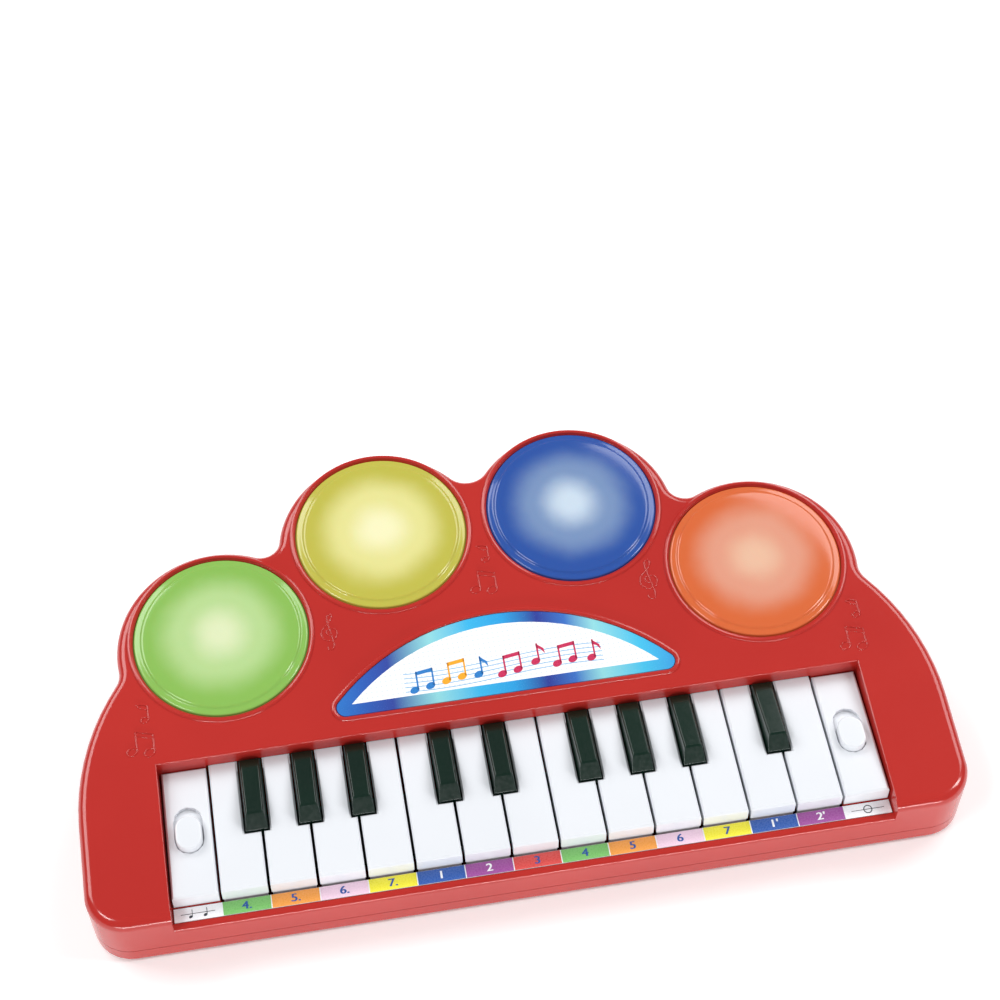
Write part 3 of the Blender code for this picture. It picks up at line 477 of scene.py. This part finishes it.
def makeCaseTop():
    s, w = caseShape, wellShape
    top = slopeCut(plate("caseTop", caseOutline(0), s["parting"] + s["gap"] / 2, 80), 0)
    bevelEdges(top, lambda edge, a, b: onSlope(a) and onSlope(b), s["topFillet"], 7)
    hollow = slopeCut(plate("hollow", caseOutline(s["wall"]), s["parting"] - 1, 80), s["wall"])
    reach = w["half"] + w["wall"]
    combine(hollow, block("wellWalls", (-reach, reach), (s["front"] - 20, w["back"] + w["wall"]),
                          (w["wallBottom"], 90)))
    combine(top, hollow)
    combine(top, wellTool())
    sideRim = [w["half"], -w["half"]]

    def onRim(edge, a, b):
        if not (onSlope(a) and onSlope(b)):
            return False
        alongSide = any(abs(a.x - x) < 0.02 and abs(b.x - x) < 0.02 for x in sideRim)
        return alongSide or (abs(a.y - w["back"]) < 0.02 and abs(b.y - w["back"]) < 0.02)

    bevelEdges(top, onRim, s["rimRadius"], 4, clamp=False)
    combine(top, block("keySlot", (-w["slotHalf"], w["slotHalf"]), (w["slotFront"], w["back"] + 5),
                       (w["slotLow"], w["slotHigh"])))
    combine(top, block("stripBed", (-w["half"] - 0.01, w["half"] + 0.01),
                       (s["stripFront"] - s["gap"], w["bedBack"]), (w["bedLow"], w["bedHigh"])))
    for x in (-w["stemX"], w["stemX"]):
        combine(top, block("stemSlot", (x - w["stemHalf"], x + w["stemHalf"]), (w["stemFront"], w["stemBack"]),
                           (w["stemLow"], w["stemHigh"])))
    for centre in padCentres.values():
        bead = beadRing("bead", ring((0, 0), padShape["beadCentre"], padShape["steps"]))
        combine(top, placed(bead, onTop(*centre)), "UNION")
        hole = plate("hole", ring((0, 0), padShape["hole"], padShape["steps"]), -5, 6)
        combine(top, placed(hole, onTop(*centre)))
    combine(top, placed(beadRing("bead", badgeOutline(-badgeShape["beadOut"])), badgeFrame), "UNION")
    combine(top, placed(plate("bed", badgeOutline(-s["gap"]), -badgeShape["bedDepth"], 3), badgeFrame))
    return finished(top, redAbs, "case", "red_case", "top_shell", angle=30)


floorShape = {
    "bayX": (-91.4, -28.6), "bayY": (-4.9, 42.9), "bayTop": 20.4, "bayWall": 1.6,
    "hingeY": 39.1, "screwY": -9.5, "speaker": (62.0, 23.0), "grilleReach": 21.5, "grillePitch": 7.0,
    "screws": [(-168.0, -69.0), (168.0, -69.0), (-86.0, 50.0), (86.0, 50.0)],
    "postRadius": 4.4, "postTop": 14.0, "holeRadius": 1.6, "counterbore": 3.2, "counterboreDepth": 1.5,
    "feet": [(-158.0, -87.0), (158.0, -87.0), (-70.0, 67.0), (70.0, 67.0)], "footRadius": 7.0, "footBed": 0.6,
    "slotHalf": 1.6, "bossTop": 12.0, "pilotRadius": 2.0,
}


def makeCaseBottom():
    s, f = caseShape, floorShape
    low, floorTop = s["bottom"], s["bottom"] + s["wall"]
    bottom = plate("caseBottom", caseOutline(0), low, s["parting"] - s["gap"] / 2)
    bevelEdges(bottom, lambda edge, a, b: max(a.z, b.z) < low + 0.01, s["bottomFillet"], 5)
    combine(bottom, plate("hollow", caseOutline(s["wall"]), floorTop, s["parting"] + 1))
    x, y, wall, middle = f["bayX"], f["bayY"], f["bayWall"], sum(f["bayX"]) / 2
    combine(bottom, block("bay", (x[0] - wall, x[1] + wall), (y[0] - wall, y[1] + wall),
                          (floorTop - 0.5, f["bayTop"] + wall)), "UNION")
    combine(bottom, block("boss", (middle - 9, middle + 9), (y[0] - 10, y[0] - 0.5),
                          (floorTop - 0.5, f["bossTop"])), "UNION")
    combine(bottom, block("room", x, y, (floorTop, f["bayTop"])))
    combine(bottom, block("mouth", x, (y[0], f["hingeY"] + 0.3), (0, floorTop + 1)))
    combine(bottom, block("lugMouth", (middle - 7.4, middle + 7.4), (f["screwY"] - 4.3, y[0] + 1),
                          (0, floorTop + 0.3)))
    combine(bottom, plate("pilot", ring((middle, f["screwY"]), f["pilotRadius"], 24), 1, f["bossTop"] - 1))
    for spot in f["screws"]:
        combine(bottom, plate("post", ring(spot, f["postRadius"], 32), floorTop - 0.5, f["postTop"]), "UNION")
        combine(bottom, plate("hole", ring(spot, f["holeRadius"], 24), 0, f["postTop"] + 1))
        combine(bottom, plate("counterbore", ring(spot, f["counterbore"], 32), 0, low + f["counterboreDepth"]))
    for spot in f["feet"]:
        combine(bottom, plate("footBed", ring(spot, f["footRadius"] + s["gap"], 40), 0, low + f["footBed"]))
    for k in (-2, -1, 0, 1, 2):
        aside = f["grillePitch"] * k
        reach = math.sqrt(f["grilleReach"] ** 2 - aside ** 2)
        slotX, slotY = f["speaker"][0], f["speaker"][1] + aside
        combine(bottom, block("slot", (slotX - reach, slotX + reach),
                              (slotY - f["slotHalf"], slotY + f["slotHalf"]), (0, floorTop + 1)))
    return finished(bottom, redAbs, "case", "red_case", "bottom_shell", angle=30)


makeCaseTop()
print("case top made")
makeCaseBottom()
print("case bottom made")


# keys

keyLook = {"edge": 0.3, "blackEdge": 0.2, "steps": 2, "tops": 29.9, "blackTops": 30.9, "wellBack": -33.0}


def sharp(edge, degrees=20):
    return len(edge.link_faces) == 2 and edge.calc_face_angle() > math.radians(degrees)


for number in range(1, 14):
    node = f"white_key_{number:02d}"
    key = refined(f"whiteKey{number:02d}", node,
                  lambda edge, a, b: (sharp(edge) and min(a.z, b.z) > keyLook["tops"]
                                      and max(a.y, b.y) < keyLook["wellBack"]),
                  keyLook["edge"], keyLook["steps"])
    finished(key, whiteAbs, node, "white_keys", node)
for number in range(1, 10):
    node = f"black_key_{number:02d}"
    key = refined(f"blackKey{number:02d}", node,
                  lambda edge, a, b: sharp(edge) and min(a.z, b.z) > keyLook["blackTops"],
                  keyLook["blackEdge"], keyLook["steps"])
    finished(key, blackAbs, node, "black_keys", node)
print("keys made")


# switch panels and knobs

knobShape = {
    "width": 11.0, "length": 15.4, "low": 28.6, "high": 34.6, "edge": 1.0,
    "coverX": 7.4, "coverY": 15.5, "coverLow": 27.7, "coverHigh": 29.0, "stemHalf": 2.5, "stemLow": 17.0,
}


def makeKnob():
    # the knob, the plate that hides its slot from below and the stem, about the origin
    s = knobShape
    radius, reach = s["width"] / 2, (s["length"] - s["width"]) / 2
    outline = [roundPoint((0, reach), radius, 6 * k) for k in range(31)]
    outline += [roundPoint((0, -reach), radius, 180 + 6 * k) for k in range(31)]
    knob = plate("knobModel", outline, s["low"], s["high"])
    bevelEdges(knob, lambda edge, a, b: min(a.z, b.z) > s["high"] - 0.01, s["edge"], 4)
    combine(knob, block("cover", (-s["coverX"], s["coverX"]), (-s["coverY"], s["coverY"]),
                        (s["coverLow"], s["coverHigh"])), "UNION")
    combine(knob, block("stem", (-s["stemHalf"], s["stemHalf"]), (-s["stemHalf"], s["stemHalf"]),
                        (s["stemLow"], s["coverLow"] + 0.3)), "UNION")
    return knob


knobModel = makeKnob()
switches = [("switchPanelLeft", "modeKnob", "switch_panel_left", "mode_slider"),
            ("switchPanelRight", "powerKnob", "switch_panel_right", "power_slider")]
for panelName, knobName, node, knobNode in switches:
    panel = refined(panelName, node, lambda edge, a, b: sharp(edge) and min(a.z, b.z) > keyLook["tops"],
                    keyLook["edge"], keyLook["steps"])
    finished(panel, whiteAbs, "case", "white_keys", node)
    middle = sum(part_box(knobNode), Vector()) / 2
    knob = twin(knobModel, knobName, Matrix.Translation((middle.x, middle.y, 0)))
    finished(knob, whiteAbs, knobNode, "white_keys", knobNode)
discard(knobModel)
print("switches made")


# light pads

padColoursAndPaintedGlow = {  # painted lamp glow over the lamp, fading painted glow half way, the plastic's own colour at the rim
    "green": ("#C8D2AA", "#A5C283", "#7DAA4F"),
    "yellow": ("#DBD8AD", "#CDC984", "#ADA845"),
    "blue": ("#B5C4D2", "#6C84AA", "#284B93"),
    "orange": ("#D2A98F", "#CB8C75", "#C35F34"),
}
padProfile = [(30.0, -0.4), (35.4, -2.0), (35.6, -4.0), (38.4, -4.0), (38.4, -2.5), (37.4, -2.5), (37.4, 0.0),
              (37.3, 0.35), (37.0, 0.62), (36.6, 0.78), (35.6, 0.98), (34.9, 1.1), (34.5, 1.3), (34.25, 1.6),
              (34.0, 1.84), (33.6, 2.0), (33.0, 2.1), (31.5, 2.25), (29.0, 2.46), (25.0, 2.72), (20.0, 2.97),
              (14.0, 3.18), (8.0, 3.32), (3.0, 3.38), (0.6, 3.39)]
padModel = turned("padModel", padProfile, padShape["steps"])
for colour, centre in padCentres.items():
    pad = twin(padModel, f"{colour}Pad", onTop(*centre))
    # each pad's material paints the lamp's glow and emits it
    look = padPlasticWithPaintedGlow(f"{colour}TranslucentAbsPaintedGlow", (*centre, topHeight(centre[1]) + 3), *padColoursAndPaintedGlow[colour])
    finished(pad, look, f"pad_{colour}", f"pad_{colour}", f"pad_{colour}")
discard(padModel)
print("pads made")


# printed badge

def printedInk(name, colour, dots=False):
    # screen-printed ink under a clear film; the faint dots stand 2.2 mm apart
    made = surfaceFinish(name, colour, colour, 0.28, ior=1.5, grain=0.7, bump=0.004)
    if dots:
        tree = made.node_tree
        shader = tree.nodes["Principled BSDF"]
        where = addNode(tree, "ShaderNodeTexCoord").outputs["Object"]
        grid = addNode(tree, "ShaderNodeTexVoronoi", {"Scale": 1 / (2.2 * mm), "Randomness": 0.0},
                       {"Vector": where}, voronoi_dimensions="2D")
        ramp = addNode(tree, "ShaderNodeValToRGB", links={"Fac": grid.outputs["Distance"]})
        ramp.color_ramp.elements[0].position, ramp.color_ramp.elements[0].color = 0.16, linear("#DDE6EE")
        ramp.color_ramp.elements[1].position, ramp.color_ramp.elements[1].color = 0.24, linear(colour)
        tree.links.new(ramp.outputs["Color"], shader.inputs["Base Color"])
    return made


badgeBands = [(0.0, "#2F78C8"), (0.09, "#2E5DB4"), (0.17, "#34489E"), (0.3, "#8ED3DA"), (0.42, "#3BB2E4"),
              (0.52, "#2E9EDD"), (0.62, "#2F3D95"), (0.7, "#3C6FC0"), (0.78, "#8FD4DA"), (0.9, "#45BCE4"),
              (1.0, "#3A9BDC")]


def bandedInk():
    # the border runs through blues and teals along the badge's width
    made = surfaceFinish("borderInk", "#FFFFFF", "#FFFFFF", 0.25, ior=1.5, grain=0.7, bump=0.004)
    tree = made.node_tree
    shader = tree.nodes["Principled BSDF"]
    where = addNode(tree, "ShaderNodeTexCoord").outputs["Object"]
    split = addNode(tree, "ShaderNodeSeparateXYZ", links={0: where})
    share = addNode(tree, "ShaderNodeMapRange", {"From Min": -74 * mm, "From Max": 74 * mm},
                    {"Value": split.outputs["X"]})
    ramp = addNode(tree, "ShaderNodeValToRGB", links={"Fac": share.outputs["Result"]})
    stops = ramp.color_ramp.elements
    stops[0].position, stops[0].color = badgeBands[0][0], linear(badgeBands[0][1])
    stops[1].position, stops[1].color = badgeBands[-1][0], linear(badgeBands[-1][1])
    for position, colour in badgeBands[1:-1]:
        stop = stops.new(position)
        stop.color = linear(colour)
    tree.links.new(ramp.outputs["Color"], shader.inputs["Base Color"])
    return made


def noteHead(x, y, size):
    # an oval leaning 24 degrees
    slant = math.radians(24)
    across, along = math.cos(slant), math.sin(slant)
    points = []
    for k in range(28):
        turn = 2 * math.pi * k / 28
        u, v = size * math.cos(turn), 0.72 * size * math.sin(turn)
        points.append((x + u * across - v * along, y + u * along + v * across))
    return points


def inkPlate(outline, high=0.12):
    return plate("ink", outline, 0.02, high)


staffLook = {"base": -16.6, "sway": 1.5, "swayLength": 17.0, "pitch": 2.1, "half": 43.0, "noteSize": 2.1}


def inkNote(pair):
    # one eighth note, or two under a beam, with the first head's middle at the origin
    size = staffLook["noteSize"]
    stem, right = size * 4.0, size * 0.9
    left = right - size * 0.34
    made = [inkPlate(noteHead(0, 0, size)), inkPlate([(left, 0), (right, 0), (right, stem), (left, stem)])]
    if pair:
        step, lift = size * 3.3, size * 0.5
        far, farLeft = step + right, step + left
        made.append(inkPlate(noteHead(step, lift, size)))
        made.append(inkPlate([(farLeft, lift), (far, lift), (far, stem + lift), (farLeft, stem + lift)]))
        made.append(inkPlate([(left, stem - size * 0.8), (far, stem - size * 0.3), (far, stem + lift),
                              (left, stem)]))
    else:
        made.append(inkPlate([(left, stem), (left, stem - size), (right + size * 0.6, stem - size * 1.5),
                              (right + size * 1.3, stem - size * 2.5), (right + size * 1.15, stem - size * 1.3)]))
    return merged("inkNote", made)


def wave(x):
    return staffLook["base"] + staffLook["sway"] * math.sin(x / staffLook["swayLength"])


def staffLine(level):
    # a gently waving ribbon, 0.36 mm wide
    steps = [-staffLook["half"] + staffLook["half"] * k / 24 for k in range(49)]
    lower = [(x, wave(x) + level - 0.18) for x in steps]
    upper = [(x, wave(x) + level + 0.18) for x in steps]
    return inkPlate(lower + upper[::-1], 0.07)


def makeBadge():
    badge = plate("badgePlate", badgeOutline(0), -1.0, 0.0)
    finished(placed(badge, badgeFrame), bandedInk(), "case", "printed_film", "badge_plate")
    field = plate("badgeField", badgeField(), 0.0, 0.04)
    finished(placed(field, badgeFrame), printedInk("whiteFieldInk", "#FBFCFE", True), "case", "printed_film")
    lines = merged("badgeStaff", [staffLine(staffLook["pitch"] * k) for k in range(5)])
    finished(placed(lines, badgeFrame), printedInk("paleBlueInk", "#7FB4DC"), "case", "printed_film")
    notes = {
        "badgeBlueNotes": ("#2F7CC4", [(-39, 0.6, True), (-11, 3.4, False)]),
        "badgeGoldNotes": ("#F2A82E", [(-25, 3.2, True)]),
        "badgeCrimsonNotes": ("#C6305A", [(-1, 1.2, True), (14, 3.6, False), (23, 0.8, True), (38, 1.6, False)]),
    }
    models = {True: inkNote(True), False: inkNote(False)}
    for name, (colour, spots) in notes.items():
        made = [twin(models[pair], "note", Matrix.Translation((x * mm, (wave(x) + lift) * mm, 0)))
                for x, lift, pair in spots]
        finished(placed(merged(name, made), badgeFrame), printedInk(name + "Ink", colour), "case", "printed_film")
    discard(*models.values())


makeBadge()
print("badge made")


# numbered strip in front of the keys

stripCells = ["#F7F8FB", "#7FC36E", "#F4A34F", "#F3D3E6", "#F5EC44", "#3A62B0", "#A2569F", "#DE5450", "#7FC36E",
              "#F4A34F", "#F3D3E6", "#F5EC44", "#3A62B0", "#A2569F", "#F7F8FB"]
stripDark = ("#3A62B0", "#A2569F")  # cells that take white figures
stripMarks = ["", "4.", "5.", "6.", "7.", "1", "2", "3", "4", "5", "6", "7", "1'", "2'", ""]
stripLook = {"pitch": 20.0, "front": -99.0, "back": -93.0, "top": 23.1, "seam": 0.22, "edge": 0.05,
             "textSize": 4.9, "textWidth": 1.15, "bold": 0.16, "textLift": 0.06}


def mark(text, x):
    # bold figures: the same outline three times, a little aside and above
    s = stripLook
    bpy.ops.object.select_all(action="DESELECT")
    bpy.ops.object.text_add()
    figure = bpy.context.object
    figure.data.body = text
    figure.data.size = s["textSize"] * mm
    figure.data.align_x = "CENTER"
    figure.data.align_y = "CENTER"
    figure.data.extrude = 0.03 * mm
    figure.scale = (s["textWidth"], 1, 1)
    bpy.ops.object.convert(target="MESH")
    figure = bpy.context.object
    bake(figure)
    middle = (s["front"] + s["back"]) / 2
    spots = [(x + s["bold"] * k, middle, s["top"] + s["textLift"] + 0.01 * k) for k in (-1, 0, 1)]
    made = [twin(figure, "mark", Matrix.Translation(Vector(spot) * mm)) for spot in spots]
    discard(figure)
    return merged("mark", made)


def stripPlate(outline, high=0.07):
    return plate("ink", outline, stripLook["top"] + 0.01, stripLook["top"] + high)


def makeStrip():
    s = stripLook
    low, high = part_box("note_strip")
    base = block("stripBase", (low.x / mm, high.x / mm), (low.y / mm, high.y / mm), (low.z / mm, high.z / mm))
    finished(base, printedInk("stripFilm", "#F7F8FB"), "case", "printed_film", "note_strip")
    cells = {}
    half, front, back = s["pitch"] / 2 - s["seam"], s["front"] + s["edge"], s["back"] - s["edge"]
    cellModel = stripPlate([(-half, front), (half, front), (half, back), (-half, back)], 0.035)
    for k, colour in enumerate(stripCells[1:-1], 1):
        cell = twin(cellModel, "cell", Matrix.Translation(((k - 7) * s["pitch"] * mm, 0, 0)))
        cells.setdefault(colour, []).append(cell)
    discard(cellModel)
    for k, (colour, made) in enumerate(cells.items()):
        finished(merged(f"stripInk{k + 1}", made), printedInk(f"stripInk{k + 1}", colour), "case", "printed_film")
    blue, white = [], []
    for k, text in enumerate(stripMarks):
        if text:
            (white if stripCells[k] in stripDark else blue).append(mark(text, (k - 7) * s["pitch"]))
    finished(merged("stripNumbersBlue", blue), printedInk("stripBlueInk", "#2F5AA6"), "case", "printed_film")
    finished(merged("stripNumbersWhite", white), printedInk("stripWhiteInk", "#FAFBFD"), "case", "printed_film")
    middle = (s["front"] + s["back"]) / 2
    signs = []
    for x in (-140, 140):
        signs.append(stripPlate([(x - 7, middle - 0.12), (x + 7, middle - 0.12), (x + 7, middle + 0.12),
                                 (x - 7, middle + 0.12)]))
    for x in (-143, -137):
        signs.append(stripPlate(noteHead(x, middle - 1.3, 0.8)))
        signs.append(stripPlate([(x + 0.55, middle - 1.3), (x + 0.8, middle - 1.3), (x + 0.8, middle + 1.9),
                                 (x + 0.55, middle + 1.9)]))
    outer, inner = ring((140, middle), 1.9, 32), ring((140, middle), 1.5, 32)
    signs.append(combine(stripPlate(outer), plate("hole", inner, 20, 26)))
    finished(merged("stripSigns", signs), printedInk("stripSignInk", "#3C4048"), "case", "printed_film")


makeStrip()
print("strip made")


# notes moulded into the red top

embossLook = {"lineRadius": 0.45, "sink": 0.1}


def raisedLine(points, closed):
    # a round line along the points, half sunk into the top
    if len(points) == 2:
        points = [points[0], tuple((Vector(points[0]) + Vector(points[1])) / 2), points[1]]
    bpy.ops.object.select_all(action="DESELECT")
    bpy.ops.mesh.primitive_circle_add(vertices=len(points))
    piece = bpy.context.object
    for vertex, (x, y) in zip(piece.data.vertices, points):
        vertex.co = (x * mm, y * mm, -embossLook["sink"] * mm)
    if not closed:
        bpy.ops.object.mode_set(mode="EDIT")
        bpy.ops.mesh.select_mode(type="EDGE")
        bpy.ops.mesh.select_all(action="DESELECT")
        mesh = bmesh.from_edit_mesh(piece.data)
        for edge in mesh.edges:
            if {v.index for v in edge.verts} == {0, len(points) - 1}:
                edge.select_set(True)
        bmesh.update_edit_mesh(piece.data)
        bpy.ops.mesh.delete(type="EDGE")
        bpy.ops.object.mode_set(mode="OBJECT")
    bpy.ops.object.convert(target="CURVE")
    piece = bpy.context.object
    piece.data.bevel_depth = embossLook["lineRadius"] * mm
    piece.data.bevel_resolution = 2
    piece.data.use_fill_caps = True
    bpy.ops.object.convert(target="MESH")
    return bpy.context.object


def smoothLine(points, steps=5):
    # a Catmull-Rom curve through the points
    made = []
    for k in range(len(points) - 1):
        a, b = Vector(points[max(k - 1, 0)]), Vector(points[k])
        c, d = Vector(points[k + 1]), Vector(points[min(k + 2, len(points) - 1)])
        for j in range(steps):
            t = j / steps
            made.append(tuple(0.5 * (2 * b + (c - a) * t + (2 * a - 5 * b + 4 * c - d) * t ** 2
                                     + (3 * b - a - 3 * c + d) * t ** 3)))
    return made + [points[-1]]


def singleNote():
    # an eighth note 8 mm tall, drawn as an outline
    return [raisedLine(noteHead(0.3, -2.8, 1.7), True), raisedLine([(1.9, -2.4), (1.9, 3.6)], False),
            raisedLine(smoothLine([(1.9, 3.6), (-0.4, 4.4), (-2.6, 4.2), (-1.0, 2.8), (1.9, 1.8)]), False)]


def beamedPair():
    # two notes under a beam, 12 mm tall
    beam = [(-2.6, 4.6), (4.6, 2.6), (4.6, 0.6), (-2.6, 2.6)]
    return [raisedLine(noteHead(-4.6, -4.4, 2.3), True), raisedLine(noteHead(2.6, -5.6, 2.3), True),
            raisedLine(beam, True), raisedLine([(-2.6, 2.6), (-2.6, -3.8)], False),
            raisedLine([(4.6, 0.6), (4.6, -5.0)], False)]


def clef():
    # a treble clef 20 mm tall, from its inner curl to its foot
    stroke = [(0.6, -1.2), (-1.5, -0.6), (-2.0, 1.2), (-0.2, 2.6), (2.4, 2.0), (3.4, -0.8), (1.6, -3.6),
              (-1.8, -3.9), (-4.4, -1.6), (-3.8, 2.4), (-0.6, 5.6), (1.6, 8.6), (1.2, 10.8), (-0.4, 10.2),
              (-0.8, 7.0), (0.2, 0.0),
              (1.2, -6.2), (0.4, -9.0), (-1.8, -9.2), (-2.2, -7.4)]
    return [raisedLine(smoothLine(stroke), False)]


embossSpots = [  # drawing, place, size
    ("single", (-153.5, -9.7), 1.0), ("pair", (-155.0, -22.0), 1.0), ("clef", (-71.0, 15.5), 0.85),
    ("single", (0.5, 43.4), 1.0), ("pair", (-1.2, 31.0), 1.0), ("clef", (70.0, 18.8), 0.95),
    ("single", (154.7, -9.0), 1.0), ("pair", (151.4, -21.4), 1.0),
]


def makeEmbossing():
    models = {"single": merged("single", singleNote()), "pair": merged("pair", beamedPair()),
              "clef": merged("clef", clef())}
    made = [twin(models[kind], "mark", onTop(*place) @ Matrix.Scale(size, 4))
            for kind, place, size in embossSpots]
    discard(*models.values())
    finished(merged("mouldedNotes", made), redAbs, "case", "red_case", angle=60)


makeEmbossing()
print("moulded notes made")


# underside and inside

# radius and height along a foot, from its rounded underside up
footProfile = [(5.2, 0.5), (5.6, 0.15), (6.0, 0.0), (6.5, 0.05), (6.9, 0.35), (7.0, 0.8), (7.0, 1.9)]
corners = ("front_left", "front_right", "rear_left", "rear_right")
footModel = turned("footModel", footProfile, 48)
for corner, (x, y) in zip(corners, floorShape["feet"]):
    foot = twin(footModel, f"rubberFoot_{corner}", Matrix.Translation((x * mm, y * mm, 0)))
    finished(foot, rubberBlack, "case", "foot_rubber", f"foot_{corner}")
discard(footModel)

screwLook = {
    "case": {"headRadius": 2.8, "headHeight": 1.1, "tip": 24.0},
    "door": {"headRadius": 2.7, "headHeight": 0.8, "tip": 10.0},
    "shank": 1.2, "recessLong": 1.6, "recessWide": 0.3, "recessDepth": 0.6,
}


def makeScrew(kind, z):
    # a pan head with a crossed recess underneath, and its shank up to the tip
    s, look = screwLook, screwLook[kind]
    radius, seat = look["headRadius"], z + look["headHeight"]
    screw = turned("screwModel", [(radius * 0.7, z), (radius * 0.94, z + 0.12), (radius, z + 0.35), (radius, seat),
                                  (s["shank"], seat), (s["shank"], look["tip"] - 1), (0.2, look["tip"])], 32)
    for x, y in ((s["recessLong"], s["recessWide"]), (s["recessWide"], s["recessLong"])):
        combine(screw, block("recess", (-x, x), (-y, y), (z - 1, z + s["recessDepth"])))
    return screw


def placeScrew(model, name, node, body):
    middle = sum(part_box(node), Vector()) / 2
    screw = twin(model, name, Matrix.Translation((middle.x, middle.y, 0)))
    finished(screw, zincSteel, body, "steel", node)


screwModel = makeScrew("case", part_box("case_screw_front_left")[0].z / mm)
for corner in corners:
    placeScrew(screwModel, f"caseScrew_{corner}", f"case_screw_{corner}", "case")
discard(screwModel)
screwModel = makeScrew("door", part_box("battery_door_screw")[0].z / mm)
placeScrew(screwModel, "battery_doorScrew", "battery_door_screw", "battery_door")
discard(screwModel)

door = refined("batteryDoor", "battery_door",
               lambda edge, a, b: sharp(edge, 60) and max(a.z, b.z) < 1.7 and abs(a.x + 60) + abs(b.x + 60) > 12,
               0.25, 2)
finished(door, redAbs, "battery_door", "red_case", "battery_door")

low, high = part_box("battery_1")
half = (high.x - low.x) / 2 / mm
cellProfile = [(5.4, -half), (6.6, -half + 0.1), (7.1, -half + 0.8), (7.1, half - 2.4), (6.8, half - 2.1),
               (2.8, half - 2.0), (2.7, half - 0.3), (2.4, half)]  # flat end, jacket, then the raised end
cellModel = turned("cellModel", cellProfile, 48)
for number, turn in ((1, 90), (2, -90), (3, 90)):
    middle = sum(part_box(f"battery_{number}"), Vector()) / 2
    lying = Matrix.Translation(middle) @ Matrix.Rotation(math.radians(turn), 4, "Y")
    finished(twin(cellModel, f"aaCell{number}", lying), jacket, "case", "battery_jacket", f"battery_{number}")
discard(cellModel)

carriedOver = {
    "key_pivot_rod": zincSteel, "key_stop_felt": feltGreen, "key_board": solderMask,
    "contact_rubber": siliconeGrey,
    "pad_light_green": solderMask, "pad_light_yellow": solderMask, "pad_light_blue": solderMask,
    "pad_light_orange": solderMask, "battery_contact_left": zincSteel, "battery_contact_right": zincSteel,
    "speaker_frame": zincSteel, "speaker_cone": conePaper, "main_board": solderMask,
}
for node, material in carriedOver.items():
    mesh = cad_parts[node].data
    mesh.materials.clear()
    mesh.materials.append(material)
print("underside and inside made")


# floor, light and camera

stageLook = {
    "floor": "#F8F8F8", "floorGlow": 0.25, "world": 0.2,
    "lights": {  # place, size in metres and watts
        "backLeftSoftbox": ((-1.75, 1.45, 2.1), (2.2, 1.5), 52.0),
        "backRightSoftbox": ((1.75, 1.45, 2.1), (2.2, 1.5), 44.0),
        "leftSoftbox": ((-1.6, -0.65, 2.46), (0.9, 0.5), 21.0),
        "rightSoftbox": ((2.08, -0.44, 2.12), (0.5, 1.1), 25.0),
        "frontFill": ((-0.2, -2.9, 0.14), (3.2, 0.2), 48.0),
    },
}


def makeStage():
    bpy.ops.object.select_all(action="DESELECT")
    bpy.ops.mesh.primitive_plane_add(size=12, location=(0, 0, -0.0002))
    floor = bpy.context.object
    floor.name = "paleFloor"
    board = surfaceFinish("paleBoard", stageLook["floor"], stageLook["floor"], 0.8, bump=0.0)
    paint = board.node_tree.nodes["Principled BSDF"]
    paint.inputs["Emission Color"].default_value = (1, 1, 1, 1)
    paint.inputs["Emission Strength"].default_value = stageLook["floorGlow"]
    floor.data.materials.append(board)
    world = bpy.data.worlds.new("softRoom")
    world.use_nodes = True
    sky = world.node_tree.nodes["Background"]
    sky.inputs["Color"].default_value = (1, 1, 1, 1)
    sky.inputs["Strength"].default_value = stageLook["world"]
    bpy.context.scene.world = world


def addLight(name, place, size, power):
    bpy.ops.object.light_add(type="AREA", location=place)
    lamp = bpy.context.object
    lamp.name = name
    lamp.data.shape = "RECTANGLE"
    lamp.data.size, lamp.data.size_y = size
    lamp.data.energy = power
    lamp.rotation_euler = (-Vector(place)).to_track_quat("-Z", "Y").to_euler()


makeStage()
for lightName, (place, size, power) in stageLook["lights"].items():
    addLight(lightName, place, size, power)

cameraView = {"place": (-0.07683, -0.50086, 0.85159), "target": (0.0139, 0.0809, 0.0313), "roll": -0.0130,
              "lens": 79.84, "sensor": 36.0}


def makeCamera():
    place, target = Vector(cameraView["place"]), Vector(cameraView["target"])
    back = (place - target).normalized()
    side = Vector((0, 0, 1)).cross(back).normalized()
    up = back.cross(side)
    c, s = math.cos(cameraView["roll"]), math.sin(cameraView["roll"])
    right, above = side * c + up * s, up * c - side * s
    bpy.ops.object.camera_add()
    camera = bpy.context.object
    camera.matrix_world = Matrix.Translation(place) @ Matrix((right, above, back)).transposed().to_4x4()
    camera.data.lens = cameraView["lens"]
    camera.data.sensor_width = cameraView["sensor"]
    bpy.context.scene.camera = camera


makeCamera()
bpy.context.scene.view_settings.view_transform = "Standard"
print("stage made")
